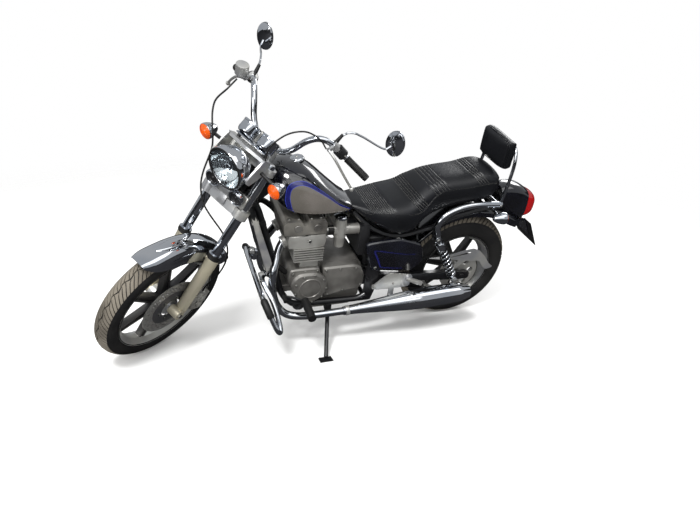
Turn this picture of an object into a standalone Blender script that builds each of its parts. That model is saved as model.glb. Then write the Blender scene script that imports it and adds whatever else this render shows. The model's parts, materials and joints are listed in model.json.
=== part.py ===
"""Cruiser motorcycle: an assembly of separate pieces, parked on its side stand.

Units are metres, +Z is up and +X is forward. The motorcycle is modelled upright in its own
frame, with the rear axle above x = 0. The steered pieces are modelled in the fork's frame, whose
+Z runs up the steering axis. Two empties then turn the steering and lean the whole machine.
"""
import math

import bmesh
import bpy
import numpy as np
from mathutils import Matrix, Vector

# Stance
WHEELBASE = 1.555
LEAN = math.radians(11.0)
STEER_REST = math.radians(39.6)
RAKE = math.radians(30.8)
FORK_OFFSET = 0.047
AXLE_LEAD = 0.031
GAP = 0.0003
RUN_GAP = 0.006

# Wheels and tyres
FRONT_TYRE_R = 0.331
FRONT_TYRE_HALF = 0.050
FRONT_BEAD_R = 0.246
FRONT_RIM_HALF = 0.036
REAR_TYRE_R = 0.316
REAR_TYRE_HALF = 0.070
REAR_BEAD_R = 0.197
REAR_RIM_HALF = 0.052
TYRE_STEPS = 34
RIM_DEPTH = 0.020
SPOKES = 7
SPOKE_W = 0.030
SPOKE_START = math.radians(12.0)
SPOKE_DEEP = 0.016
RIB_HALF = 0.0045
HUB_R = 0.046
NOSE_R = 0.0135
BORE_R = 0.020
DISC_R = 0.150
DISC_T = 0.005
DISC_Y = 0.058
PULLEY_R = 0.112
PULLEY_Y = 0.083
PULLEY_T = 0.014

# Fork
FORK_Y = 0.094
TUBE_R = 0.0205
LEG_R = 0.0280
LEG_TOP = 0.319
SEAL_H = 0.022
LOWER_CLAMP_W = 0.545
CLAMP_T = 0.042
UPPER_CLAMP_W = 0.772
UPPER_CLAMP_T = 0.030
FORK_TOP = 0.812
CLAMP_R = 0.034
HEAD_R = 0.034

# Handlebar and what it carries
BAR_R = 0.0127
GRIP_R = 0.0165
GRIP_LEN = 0.120
BAR_X = -0.012
BAR_W = 0.864
BAR_BEND = (-0.108, 0.278, 1.008)
BAR_END = (-0.146, 0.398, 0.990)
PERCH_R = 0.019
LEVER_PIVOT = (-0.008, 0.243, 1.004)
LEVER_END = (-0.123, 0.376, 0.919)
MASTER_AT = (-0.004, 0.262, 1.012)
MIRROR_AT = (-0.212, 0.389, 1.168)
MIRROR_WAY = (-0.859, 0.0, 0.512)
HOSE_TOP = (0.004, -0.262, 0.985)
HOSE_R = 0.0038
CABLE_TOP = (0.006, 0.238, 1.004)
CABLE_R = 0.0032
MIRROR_RX = 0.060
MIRROR_RZ = 0.045
STALK_R = 0.0045

# Front mudguard, lamps and horns
GUARD_HALF = 0.0625
SHEET = 0.0025
GUARD_BOSS_W = 0.300
GUARD_SIDE = -1.0
LAMP_R = 0.090
LAMP_DEPTH = 0.100
LAMP_AT = (0.173, 0.0, 0.714)
LENS_RISE = 0.012
EAR_Y = 0.100
EAR_T = 0.008
EAR_TOP = 0.830
GAUGE_WAY = (-0.35, 0.0, 0.94)
IND_AT = (0.087, 0.199, 0.770)
GAUGE_R = 0.041
GAUGE_H = 0.058
IND_R = 0.033
IND_LEN = 0.062
HORN_R = 0.037

# Frame
FRAME_R = 0.016
BACKBONE_R = 0.022
RAIL_Y = 0.110
RAIL_R = 0.013
PIVOT_X = 0.552
PIVOT_Z = 0.365
PIVOT_PLATE_Y = 0.1315
PIVOT_PLATE_T = 0.008
ARM_Y = 0.112
ARM_W = 0.028

LOWER_Y = 0.130
LOWER_Z = 0.250
# columns: place along the machine, height, half length, radius
FRAME_CROSSES = [(1.031, 0.488, 0.080, 0.011), (0.572, 0.272, LOWER_Y, 0.012), (0.640, 0.714, 0.066, 0.013),
                 (0.310, 0.598, RAIL_Y, 0.010), (-0.105, 0.720, RAIL_Y, 0.009)]
SHOCK_TOP = (0.2180, 0.5820)
SHOCK_LOW = (0.0660, 0.3220)

# Engine
CASE_HALF = 0.105
PORT_Y = 0.075
CAM_TOP = 0.728
PORT = (0.984, 0.592)
PORT_WAY = Vector((0.868, 0.0, -0.496)).normalized()
BELT_NOSE_R = 0.042
BELT_END_X = 0.5890
RADIATOR_AT = (1.0945, 0.0, 0.606)
RADIATOR_TILT = math.radians(12.2)
COVER_OUT = 0.176
CYL_HALF = 0.140
FIN_HALF = 0.155
FINS = 6
FIN_T = 0.0045
FIN_PITCH = 0.0125
HEAD_HALF = 0.150

# Exhaust, guard bar, rails and stand
PIPE_R = 0.0190
MUFFLER_R = 0.056
MUFFLER_START = (0.700, 0.206, 0.240)
MUFFLER_END = (-0.006, 0.213, 0.276)
CRASH_R = 0.0125
SLEEVE_R = 0.0175
GRAB_R = 0.016
GRAB_Y = 0.152
SISSY_R = 0.0085
SHOCK_Y = 0.155
SPRING_R = 0.026
WIRE_R = 0.0042
COILS = 6
COIL_R = 0.0225
EYE_R = 0.014
PLATE_AT = (-0.378, 0.0, 0.590)
PLATE_TILT = math.radians(30.0)
PLATE_HALF = 0.095
PLATE_H = 0.170
REAR_IND = (-0.085, 0.195, 0.700)
STAND_PIVOT = (0.762, 0.150, 0.192)
STAND_WAY = Vector((0.2500, 0.8500, -0.4640)).normalized()
STAND_FOLDED = Vector((-0.996, 0.050, -0.070)).normalized()
STAND_AXIS = STAND_WAY.cross(STAND_FOLDED).normalized()
STAND_TOE = 0.0095
STAND_HEAD = 0.012
STAND_R = 0.0105

PARTS = "cruiser_motorcycle"


def clear_scene():
    """Remove every object and collection that the open file holds."""
    for old in list(bpy.data.objects):
        bpy.data.objects.remove(old, do_unlink=True)
    for old in list(bpy.data.collections):
        bpy.data.collections.remove(old)
    group = bpy.data.collections.new(PARTS)
    bpy.context.scene.collection.children.link(group)
    return group


GROUP = clear_scene()
FINISHES = {}


def finish(name, colour, roughness, metallic=0.0):
    """Return the Principled material of one finish, made once."""
    if name not in FINISHES:
        made = bpy.data.materials.new(name)
        made.use_nodes = True
        shader = made.node_tree.nodes["Principled BSDF"]
        shader.inputs["Base Color"].default_value = (*colour, 1.0)
        shader.inputs["Roughness"].default_value = roughness
        shader.inputs["Metallic"].default_value = metallic
        FINISHES[name] = made
    return FINISHES[name]


CHROME = finish("chrome", (0.78, 0.79, 0.80), 0.08, 1.0)
ALLOY = finish("cast alloy", (0.42, 0.41, 0.38), 0.40, 1.0)
FORK_ALLOY = finish("fork alloy", (0.50, 0.47, 0.38), 0.38, 1.0)
STEEL = finish("brushed steel", (0.45, 0.44, 0.42), 0.30, 1.0)
FRAME_BLACK = finish("frame black", (0.012, 0.012, 0.014), 0.35)
GLOSS_BLACK = finish("gloss black", (0.008, 0.008, 0.012), 0.12)
DARK_PLASTIC = finish("dark plastic", (0.02, 0.02, 0.02), 0.45)
RUBBER = finish("rubber", (0.015, 0.015, 0.015), 0.75)
LEATHER = finish("seat vinyl", (0.014, 0.014, 0.016), 0.50)
RED_LENS = finish("red lens", (0.45, 0.02, 0.02), 0.15)
AMBER = finish("amber lens", (0.80, 0.22, 0.02), 0.20)


def empty(name, parent=None, matrix=None):
    """Add an empty under a parent, placed by a local matrix."""
    made = bpy.data.objects.new(name, None)
    GROUP.objects.link(made)
    made.parent = parent
    made.matrix_local = matrix or Matrix.Identity(4)
    return made


def as_object(name, data):
    """Link an object that holds the given mesh or curve."""
    made = bpy.data.objects.new(name, data)
    GROUP.objects.link(made)
    return made


def from_bmesh(name, form):
    """Turn a bmesh into a linked object, with its faces pointing out."""
    bmesh.ops.recalc_face_normals(form, faces=form.faces)
    mesh = bpy.data.meshes.new(name)
    form.to_mesh(mesh)
    form.free()
    return as_object(name, mesh)


def solidified(source):
    """Replace a curve or an object with modifiers by the welded mesh that it makes."""
    bpy.context.view_layer.update()
    depsgraph = bpy.context.evaluated_depsgraph_get()
    mesh = bpy.data.meshes.new_from_object(source.evaluated_get(depsgraph))
    form = bmesh.new()
    form.from_mesh(mesh)
    bmesh.ops.remove_doubles(form, verts=form.verts, dist=0.00002)
    bmesh.ops.transform(form, matrix=source.matrix_world, verts=form.verts)
    form.to_mesh(mesh)
    form.free()
    result = as_object(source.name, mesh)
    bpy.data.objects.remove(source, do_unlink=True)
    return result


def boolean(base, others, operation):
    """Join pieces to a base, or cut them from it, and remove them."""
    for other in others:
        step = base.modifiers.new(operation.lower(), "BOOLEAN")
        step.operation = operation
        step.object = other
        step.solver = "EXACT"
    result = solidified(base)
    for other in others:
        bpy.data.objects.remove(other, do_unlink=True)
    return result


def union(base, *others):
    return boolean(base, others, "UNION")


def cut(base, *others):
    return boolean(base, others, "DIFFERENCE")


def move(piece, matrix):
    """Transform a piece's mesh or curve by a matrix."""
    piece.data.transform(matrix)
    return piece


def along(start, end):
    """Return the matrix that carries the unit Z axis onto the line from start to end."""
    start = Vector(start)
    way = Vector(end) - start
    return Matrix.Translation(start) @ way.to_track_quat("Z", "Y").to_matrix().to_4x4()


def rod(start, end, radius, end_radius=None, sides=16):
    """A straight round bar, or a cone, between two points."""
    form = bmesh.new()
    length = (Vector(end) - Vector(start)).length
    top = radius if end_radius is None else end_radius
    bmesh.ops.create_cone(form, cap_ends=True, segments=sides, radius1=radius, radius2=top, depth=length)
    bmesh.ops.translate(form, vec=(0.0, 0.0, length / 2.0), verts=form.verts)
    bmesh.ops.transform(form, matrix=along(start, end), verts=form.verts)
    return from_bmesh("rod", form)


def block(low, high, bevel=0.0, segments=2):
    """A box between two corners, with rounded edges."""
    low, high = Vector(low), Vector(high)
    form = bmesh.new()
    bmesh.ops.create_cube(form, size=1.0)
    bmesh.ops.scale(form, vec=high - low, verts=form.verts)
    bmesh.ops.translate(form, vec=(low + high) / 2.0, verts=form.verts)
    if bevel:
        bmesh.ops.bevel(form, geom=form.edges[:], offset=bevel, segments=segments, affect="EDGES",
                        profile=0.5, material=-1)
    return from_bmesh("block", form)


def turned(profile, steps=32, ring=False):
    """A shape turned about Z, from (radius, height) points that run top to bottom."""
    form = bmesh.new()
    line = [form.verts.new((radius, 0.0, height)) for radius, height in profile]
    pairs = zip(line, line[1:] + line[:1] if ring else line[1:])
    for first, second in pairs:
        form.edges.new((first, second))
    mesh = bpy.data.meshes.new("turned")
    form.to_mesh(mesh)
    form.free()
    piece = as_object("turned", mesh)
    screw = piece.modifiers.new("screw", "SCREW")
    screw.axis = "Z"
    screw.steps = steps
    screw.render_steps = steps
    screw.use_merge_vertices = True
    screw.merge_threshold = 0.00005
    piece = solidified(piece)
    form = bmesh.new()
    form.from_mesh(piece.data)
    bmesh.ops.recalc_face_normals(form, faces=form.faces)
    form.to_mesh(piece.data)
    form.free()
    return piece


def aimed(piece, centre, way):
    """Place a turned piece with its Z axis along a direction."""
    return move(piece, along(centre, Vector(centre) + Vector(way)))


def plate(outline, thickness, centre=0.0, flat=False):
    """A flat outline of (x, z) points thickened along Y, or of (x, y) points along Z if it lies flat."""
    curve = bpy.data.curves.new("plate", "CURVE")
    curve.dimensions = "2D"
    curve.fill_mode = "BOTH"
    curve.extrude = thickness / 2.0
    spline = curve.splines.new("POLY")
    spline.points.add(len(outline) - 1)
    for point, (across, up) in zip(spline.points, outline):
        point.co = (across, up, 0.0, 1.0)
    spline.use_cyclic_u = True
    piece = solidified(as_object("plate", curve))
    if flat:
        return move(piece, Matrix.Translation((0.0, 0.0, centre)))
    return move(piece, Matrix(((1, 0, 0, 0), (0, 0, -1, centre), (0, 1, 0, 0), (0, 0, 0, 1))))


def rounded(corners, radius, steps=3):
    """Round the corners of a closed outline by arcs."""
    result = []
    count = len(corners)
    for index, corner in enumerate(corners):
        here = Vector(corner)
        before = (Vector(corners[index - 1]) - here)
        after = (Vector(corners[(index + 1) % count]) - here)
        reach = min(radius, 0.45 * before.length, 0.45 * after.length)
        first, last = here + before.normalized() * reach, here + after.normalized() * reach
        for step in range(steps + 1):
            part = step / steps
            point = first.lerp(here, part).lerp(here.lerp(last, part), part)
            result.append(tuple(point))
    return result


def circle(centre, radius, steps=20):
    """The points of a circle in a plate's plane."""
    turn = 2.0 * math.pi / steps
    return [(centre[0] + radius * math.cos(turn * i), centre[1] + radius * math.sin(turn * i))
            for i in range(steps)]


def bent(points, radius=0.04, steps=2):
    """A route of straight runs whose corners are rounded."""
    route = [Vector(points[0])]
    for before, here, after in zip(points, points[1:], points[2:]):
        here = Vector(here)
        back, on = Vector(before) - here, Vector(after) - here
        reach = min(radius, 0.48 * back.length, 0.48 * on.length)
        first, last = here + back.normalized() * reach, here + on.normalized() * reach
        for step in range(steps + 1):
            part = step / steps
            route.append(first.lerp(here, part).lerp(here.lerp(last, part), part))
    route.append(Vector(points[-1]))
    return route


def smooth(points, steps=4):
    """A smooth route through its own points, as a Catmull-Rom curve."""
    points = [Vector(point) for point in points]
    ends = [2.0 * points[0] - points[1]] + points + [2.0 * points[-1] - points[-2]]
    route = []
    for p0, p1, p2, p3 in zip(ends, ends[1:], ends[2:], ends[3:]):
        for step in range(steps):
            t = step / steps
            route.append(0.5 * (2.0 * p1 + (p2 - p0) * t + (2.0 * p0 - 5.0 * p1 + 4.0 * p2 - p3) * t * t
                                + (3.0 * p1 - p0 - 3.0 * p2 + p3) * t ** 3))
    route.append(points[-1])
    return route


def tube(route, radius, resolution=2):
    """A round tube along a route, with filled ends; its sides are twice resolution and four."""
    curve = bpy.data.curves.new("tube", "CURVE")
    curve.dimensions = "3D"
    curve.bevel_depth = radius
    curve.bevel_resolution = resolution
    curve.use_fill_caps = True
    spline = curve.splines.new("POLY")
    spline.points.add(len(route) - 1)
    for point, place in zip(spline.points, route):
        point.co = (*place, 1.0)
    return solidified(as_object("tube", curve))


def loft(rings):
    """A closed body through rings of equally many points, with flat ends."""
    form = bmesh.new()
    rows = [[form.verts.new(point) for point in ring] for ring in rings]
    for row, after in zip(rows, rows[1:]):
        for index in range(len(row)):
            ahead = (index + 1) % len(row)
            form.faces.new((row[index], row[ahead], after[ahead], after[index]))
    form.faces.new(rows[0])
    form.faces.new(rows[-1])
    return from_bmesh("loft", form)


def sheet(rows, thickness, offset=1.0):
    """An open surface through rows of points, thickened to a wall."""
    form = bmesh.new()
    lines = [[form.verts.new(point) for point in row] for row in rows]
    for line, after in zip(lines, lines[1:]):
        for index in range(len(line) - 1):
            form.faces.new((line[index], line[index + 1], after[index + 1], after[index]))
    piece = from_bmesh("sheet", form)
    wall = piece.modifiers.new("wall", "SOLIDIFY")
    wall.thickness = thickness
    wall.offset = offset
    wall.use_even_offset = True
    return solidified(piece)


def fine(table, steps):
    """Add smooth rows between a table's rows, by a Catmull-Rom curve in every column."""
    rows = [np.array(row, float) for row in table]
    ends = [2 * rows[0] - rows[1]] + rows + [2 * rows[-1] - rows[-2]]
    result = []
    for p0, p1, p2, p3 in zip(ends, ends[1:], ends[2:], ends[3:]):
        for step in range(steps):
            t = step / steps
            result.append(0.5 * (2 * p1 + (p2 - p0) * t + (2 * p0 - 5 * p1 + 4 * p2 - p3) * t * t
                                 + (3 * p1 - p0 - 3 * p2 + p3) * t ** 3))
    result.append(rows[-1])
    return result


def body_rings(table, steps, points, belly, top_power, low_power):
    """Rings across X for a soft body, from rows of (x, half width, bottom, top)."""
    rings = []
    for x, half, low, high in fine(table, steps):
        waist = low + belly * (high - low)
        ring = []
        for index in range(points):
            angle = 2.0 * math.pi * index / points
            side, up = math.cos(angle), math.sin(angle)
            power = top_power if up >= 0.0 else low_power
            reach = high - waist if up >= 0.0 else waist - low
            ring.append((x, math.copysign(half * abs(side) ** (2.0 / power), side),
                         waist + math.copysign(reach * abs(up) ** (2.0 / power), up)))
        rings.append(ring)
    return rings


def keep(name, piece, material, parent):
    """Name a finished piece, give it its material and hang it on its empty."""
    piece.name = name
    piece.data.name = name
    form = bmesh.new()
    form.from_mesh(piece.data)
    bmesh.ops.dissolve_limit(form, angle_limit=math.radians(0.02), verts=form.verts, edges=form.edges)
    form.to_mesh(piece.data)
    form.free()
    piece.data.materials.clear()
    piece.data.materials.append(material)
    piece.data.shade_smooth()
    piece.data.set_sharp_from_angle(angle=math.radians(35.0))
    piece.parent = parent
    return piece


def both(build):
    """Call a builder for the left side, +1, and the right side, -1."""
    return [build(side, "left" if side > 0 else "right") for side in (1, -1)]


Y_AXIS = (0.0, 1.0, 0.0)
STANCE = empty("stance")
FORK_DIR = Vector((math.cos(RAKE), 0.0, math.sin(RAKE)))
HEAD_BASE = Vector((WHEELBASE, 0.0, FRONT_TYRE_R)) - (FORK_OFFSET + AXLE_LEAD) * FORK_DIR
STEERING = empty("steering_head", STANCE,
                 Matrix.Translation(HEAD_BASE) @ Matrix.Rotation(-RAKE, 4, "Y")
                 @ Matrix.Rotation(STEER_REST, 4, "Z"))
AXLE_U = FORK_OFFSET + AXLE_LEAD
FRONT_AXLE = empty("front_axle", STEERING, Matrix.Translation((AXLE_U, 0.0, 0.0)))
REAR_AXLE = empty("rear_axle", STANCE, Matrix.Translation((0.0, 0.0, REAR_TYRE_R)))
AHEAD = Vector((math.cos(RAKE), 0.0, -math.sin(RAKE)))
UPRIGHT = Vector((math.sin(RAKE), 0.0, math.cos(RAKE)))


def machine_frame(u, y, w):
    """Carry a point of the fork's frame, steering ahead, into the upright machine's frame."""
    return HEAD_BASE + Matrix.Rotation(-RAKE, 3, "Y") @ Vector((u, y, w))


def tyre(name, outer, half, bead, rim_half, parent):
    """A tyre as a turned ring: round crown, bulged wall and a bead on the rim's seat."""
    crown = half
    shoulder = outer - crown
    arc = [(shoulder + crown * math.cos(turn), crown * math.sin(turn))
           for turn in np.radians(np.linspace(75.0, -75.0, 7))]
    wall = bead + 0.60 * (shoulder - bead)
    foot = bead + 0.004
    profile = [(foot, rim_half + 0.002), (foot + 0.007, rim_half + 0.002), (wall, 0.95 * half)] + arc
    profile += [(wall, -0.95 * half), (foot + 0.007, -rim_half - 0.002), (foot, -rim_half - 0.002),
                (foot, 0.0)]
    ring = turned(profile, TYRE_STEPS, ring=True)
    return keep(name, aimed(ring, (0.0, 0.0, 0.0), Y_AXIS), RUBBER, parent)


def wheel(name, bead, rim_half, flange, nose, plate_t, parent):
    """A cast wheel: lipped rim, hub with stepped noses and seven spokes of two ribs and a web."""
    seat = bead + 0.004 - GAP
    lip = bead + 0.010
    inner = seat - RIM_DEPTH
    wall = rim_half + 0.002 + GAP
    # columns: radius, half width
    section = [(lip, rim_half + 0.006), (lip, wall), (seat, wall)]
    section += [(radius, -across) for radius, across in reversed(section)]
    section += [(inner, -0.45 * rim_half), (inner, 0.45 * rim_half)]
    rim = turned(section, TYRE_STEPS, ring=True)
    half = [(0.0, nose), (NOSE_R, nose), (BORE_R - GAP, flange + plate_t + 0.001), (BORE_R - GAP, flange),
            (HUB_R, flange)]
    barrel = turned(half + [(radius, -across) for radius, across in reversed(half)], 14)
    blades = []
    for index in range(SPOKES):
        spin = Matrix.Rotation(2.0 * math.pi * index / SPOKES + SPOKE_START, 4, "Z")
        for side in (-1.0, 1.0):
            root, tip = side * 0.60 * SPOKE_W, side * 0.34 * SPOKE_W
            slant = Matrix.Translation((HUB_R - 0.006, root, 0.0))
            slant = slant @ Matrix.Rotation(math.atan2(tip - root, inner - HUB_R), 4, "Z")
            blade = block((0.0, -RIB_HALF, -SPOKE_DEEP), (inner + 0.012 - HUB_R, RIB_HALF, SPOKE_DEEP))
            blades.append(move(blade, spin @ slant))
        web = block((HUB_R - 0.006, -0.45 * SPOKE_W, -0.006), (inner + 0.004, 0.45 * SPOKE_W, 0.006))
        blades.append(move(web, spin))
    piece = union(rim, barrel, *blades)
    return keep(name, aimed(piece, (0.0, 0.0, 0.0), Y_AXIS), ALLOY, parent)


def disc_plate(name, radius, thick, centre, holes, parent):
    """A flat disc on the hub's nose, with a table of holes: radius, turn in degrees, hole radius, sides."""
    piece = turned([(radius, thick / 2), (radius, -thick / 2), (BORE_R, -thick / 2), (BORE_R, thick / 2)],
                   28, ring=True)
    drills = []
    for reach, turn, hole, sides in holes:
        spot = (reach * math.cos(math.radians(turn)), reach * math.sin(math.radians(turn)))
        drills.append(rod((*spot, -thick), (*spot, thick), hole, sides=sides))
    return keep(name, aimed(cut(piece, *drills), (0.0, centre, 0.0), Y_AXIS), STEEL, parent)


def wheels():
    tyre("front_tyre", FRONT_TYRE_R, FRONT_TYRE_HALF, FRONT_BEAD_R, FRONT_RIM_HALF, FRONT_AXLE)
    wheel("front_wheel_casting", FRONT_BEAD_R, FRONT_RIM_HALF, DISC_Y - DISC_T / 2 - GAP,
          FORK_Y - LEG_R - GAP, DISC_T, FRONT_AXLE)
    holes = [(0.136 - 0.016 * (index % 2), 36.0 * index + 4.0, 0.0055, 6) for index in range(10)]
    disc_plate("brake_disc", DISC_R, DISC_T, DISC_Y, holes, FRONT_AXLE)
    tyre("rear_tyre", REAR_TYRE_R, REAR_TYRE_HALF, REAR_BEAD_R, REAR_RIM_HALF, REAR_AXLE)
    wheel("rear_wheel_casting", REAR_BEAD_R, REAR_RIM_HALF, PULLEY_Y - PULLEY_T / 2 - GAP,
          ARM_Y - ARM_W / 2 - GAP, PULLEY_T, REAR_AXLE)
    holes = [(0.070, 60.0 * index + 4.0, 0.020, 8) for index in range(6)]
    disc_plate("belt_pulley", PULLEY_R, PULLEY_T, PULLEY_Y, holes, REAR_AXLE)


def fork_leg(side, hand):
    """One fork leg: chrome tube, dust seal, alloy lower with its axle lug and mudguard boss."""
    seal = LEG_TOP + SEAL_H
    profile = [(0.0, FORK_TOP + 0.004), (TUBE_R - 0.003, FORK_TOP + 0.004), (TUBE_R, FORK_TOP),
               (TUBE_R, seal),
               (LEG_R + 0.001, seal), (LEG_R + 0.001, LEG_TOP), (LEG_R, LEG_TOP - 0.004), (LEG_R, 0.05),
               (LEG_R - 0.006, -0.030), (0.0, -0.034)]
    leg = move(turned(profile, 16), Matrix.Translation((FORK_OFFSET, side * FORK_Y, 0.0)))
    inner = FORK_Y - LEG_R
    lug = rod((AXLE_U, side * inner, 0.0), (AXLE_U, side * (FORK_Y + LEG_R), 0.0), 0.024, sides=12)
    boss = rod((FORK_OFFSET - 0.004, side * (GUARD_HALF - 0.0005), GUARD_BOSS_W),
               (FORK_OFFSET - 0.004, side * FORK_Y, GUARD_BOSS_W), 0.009, sides=8)
    pieces = [lug, boss]
    if side > 0:
        pieces.append(block((FORK_OFFSET - 0.046, 0.084, 0.036), (FORK_OFFSET, 0.100, 0.066), 0.003, 1))
    return keep(f"fork_{hand}", union(leg, *pieces), FORK_ALLOY, STEERING)


def clamp(low, thick, reach):
    """A fork clamp: a waisted plate with two rings, bored for the tubes."""
    outline = rounded([(0.074, 0.045), (0.066, 0.118), (0.020, 0.118), (-0.030, 0.034), (-0.030, -0.034),
                       (0.020, -0.118), (0.066, -0.118), (0.074, -0.045)], 0.012, 1)
    piece = plate(outline, thick, low + thick / 2.0, flat=True)
    rings = [rod((FORK_OFFSET, side * FORK_Y, low), (FORK_OFFSET, side * FORK_Y, low + thick), CLAMP_R,
                 sides=16)
             for side in (1, -1)]
    stem = rod((0.0, 0.0, low - reach), (0.0, 0.0, low + thick / 2), 0.020)
    return union(piece, stem, *rings)


def fork_bores():
    """Cutters for the two fork tubes, with their clearance."""
    return [rod((FORK_OFFSET, side * FORK_Y, 0.40), (FORK_OFFSET, side * FORK_Y, 0.90), TUBE_R + GAP,
                sides=16)
            for side in (1, -1)]


def clamps():
    low = cut(clamp(LOWER_CLAMP_W, CLAMP_T, 0.014), *fork_bores())
    keep("lower_clamp", low, ALLOY, STEERING)
    top = clamp(UPPER_CLAMP_W, UPPER_CLAMP_T, -0.004)
    band_low = UPPER_CLAMP_W + UPPER_CLAMP_T + 0.0145
    ears = []
    for side in (1, -1):
        # columns: along the fork frame's X, up the fork
        outline = rounded([(0.070, 0.770), (0.128, 0.712), (0.158, 0.716), (0.160, 0.745), (0.124, EAR_TOP),
                           (0.070, EAR_TOP)], 0.010, 1)
        ears.append(plate(outline, EAR_T, side * EAR_Y))
        ears.append(rod((0.1475, side * (LAMP_R - 0.008), 0.7288), (0.1475, side * EAR_Y, 0.7288), 0.008,
                        sides=8))
    band = plate(rounded([(0.074, -EAR_Y), (0.120, -EAR_Y), (0.128, 0.0), (0.120, EAR_Y), (0.074, EAR_Y)],
                         0.008, 1),
                 0.013, band_low + 0.0065, flat=True)
    top = cut(union(top, band, *ears), lamp_bowl(GAP), *fork_bores())
    keep("upper_clamp", top, ALLOY, STEERING)


def mudguard_rows(table, centre, points, power):
    """Rows over a wheel, from rows of (degrees, crown radius, skirt radius, half width)."""
    rows = []
    for turn, crown, skirt, half in table:
        row = []
        for index in range(points + 1):
            angle = math.pi * index / points
            across = math.copysign(half * abs(math.cos(angle)) ** (2.0 / power), math.cos(angle))
            reach = skirt + (crown - skirt) * math.sin(angle) ** (2.0 / power)
            row.append((centre[0] + reach * math.cos(math.radians(turn)), across,
                        centre[2] + reach * math.sin(math.radians(turn))))
        rows.append(row)
    return rows


def front_mudguard():
    # columns: degrees round the axle from straight ahead of the fork, crown, skirt, half width
    table = [(40, 0.392, 0.372, 0.040), (46, 0.383, 0.330, 0.0575), (58, 0.371, 0.296, GUARD_HALF),
             (78, 0.365, 0.280, GUARD_HALF), (98, 0.363, 0.278, GUARD_HALF), (118, 0.366, 0.286, GUARD_HALF),
             (129, 0.371, 0.305, 0.0600), (135, 0.376, 0.345, 0.050)]
    rows = mudguard_rows(fine(table, 2), (AXLE_U, 0.0, 0.0), 8, 2.7)
    keep("front_mudguard", sheet(rows, SHEET, GUARD_SIDE), CHROME, STEERING)


def lamp_bowl(extra=0.0):
    """Bowl, rim and convex glass as one turned body along the way ahead."""
    profile = [(0.0, LENS_RISE), (0.45 * LAMP_R, 0.8 * LENS_RISE), (0.88 * LAMP_R, 0.002),
               (0.93 * LAMP_R, 0.006),
               (LAMP_R, 0.003), (LAMP_R, -0.016), (0.97 * LAMP_R, -0.030), (0.86 * LAMP_R, -0.062),
               (0.62 * LAMP_R, -0.088), (0.30 * LAMP_R, -LAMP_DEPTH), (0.0, -LAMP_DEPTH)]
    profile = [(radius + extra if radius else 0.0, along_axis) for radius, along_axis in profile]
    return aimed(turned(profile, 22), LAMP_AT, AHEAD)


def headlight():
    keep("headlight", lamp_bowl(), CHROME, STEERING)


def gauges():
    band_top = UPPER_CLAMP_W + UPPER_CLAMP_T + 0.0275
    tray = block((0.060, -0.080, 0.843), (0.112, 0.080, 0.850), 0.003, 1)
    pieces = []
    for side in (1, -1):
        profile = [(0.0, GAUGE_H), (0.90 * GAUGE_R, GAUGE_H), (GAUGE_R, GAUGE_H - 0.006), (GAUGE_R, 0.012),
                   (0.84 * GAUGE_R, 0.0), (0.0, 0.0)]
        pieces.append(aimed(turned(profile, 14), (0.090, side * 0.052, 0.848), GAUGE_WAY))
        pieces.append(rod((0.092, side * 0.070, band_top + GAP), (0.092, side * 0.070, 0.846), 0.008,
                          sides=10))
    keep("gauges", union(tray, *pieces), CHROME, STEERING)


def bar_route():
    """The handlebar's route from the right end to the left end."""
    left = [(BAR_X, 0.0, BAR_W), (BAR_X, 0.072, BAR_W), (-0.004, 0.112, 0.905), (0.010, 0.148, 0.975),
            (0.004, 0.186, 1.020), (-0.035, 0.228, 1.030), BAR_BEND, BAR_END]
    right = [(x, -y, z) for x, y, z in reversed(left)]
    return bent(right[:-1] + left[1:], 0.03, 1)


def handlebar():
    bar = tube(bar_route(), BAR_R)
    way = (Vector(BAR_BEND) - Vector(BAR_END)).normalized()
    pieces = []
    for side in (1, -1):
        mirror = Vector((1.0, side, 1.0))
        inner = (Vector(BAR_END) + way * GRIP_LEN) * mirror
        outer = (Vector(BAR_END) - way * 0.002) * mirror
        pieces.append(rod(inner, outer, GRIP_R, sides=12))
        pieces.append(rod((BAR_X, side * 0.045, UPPER_CLAMP_W + UPPER_CLAMP_T + GAP),
                          (BAR_X, side * 0.045, BAR_W + 0.016),
                          0.016, sides=12))
    keep("handlebar", union(bar, *pieces), CHROME, STEERING)


def control(side, hand):
    """Lever perch, switch housing and ball-ended lever; the right one carries the master cylinder."""
    start, end = Vector((-0.035, 0.228, 1.030)), Vector(BAR_BEND)
    way = (end - start).normalized()
    perch = rod(start + way * 0.004, start + way * 0.036, PERCH_R, sides=12)
    switch = rod(start + way * 0.040, start + way * 0.078, 0.024, sides=12)
    neck = rod(start + way * 0.020, start + way * 0.060, 0.017, sides=8)
    arm = tube([start + way * 0.020, LEVER_PIVOT], 0.010, 1)
    lever = tube(smooth([LEVER_PIVOT, (-0.022, 0.285, 0.988), (-0.070, 0.335, 0.952), LEVER_END], 2),
                 0.0058, 1)
    ball_form = bmesh.new()
    bmesh.ops.create_uvsphere(ball_form, u_segments=8, v_segments=6, radius=0.010)
    ball = move(from_bmesh("ball", ball_form), Matrix.Translation(LEVER_END))
    pieces = [switch, neck, arm, lever, ball]
    if side < 0:
        pieces.append(rod(MASTER_AT, Vector(MASTER_AT) + UPRIGHT * 0.040, 0.028, sides=16))
        pieces.append(rod(LEVER_PIVOT, Vector(MASTER_AT) + UPRIGHT * 0.010, 0.012, sides=12))
    piece = union(perch, *pieces)
    piece = cut(piece, tube(bar_route(), BAR_R + GAP))
    if side < 0:
        piece = flipped(piece)
    return keep(f"control_{hand}", piece, ALLOY, STEERING)


def flipped(piece):
    """Mirror a piece to the right side, with its faces pointing out."""
    move(piece, Matrix.Diagonal((1.0, -1.0, 1.0, 1.0)))
    piece.data.flip_normals()
    return piece


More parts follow.
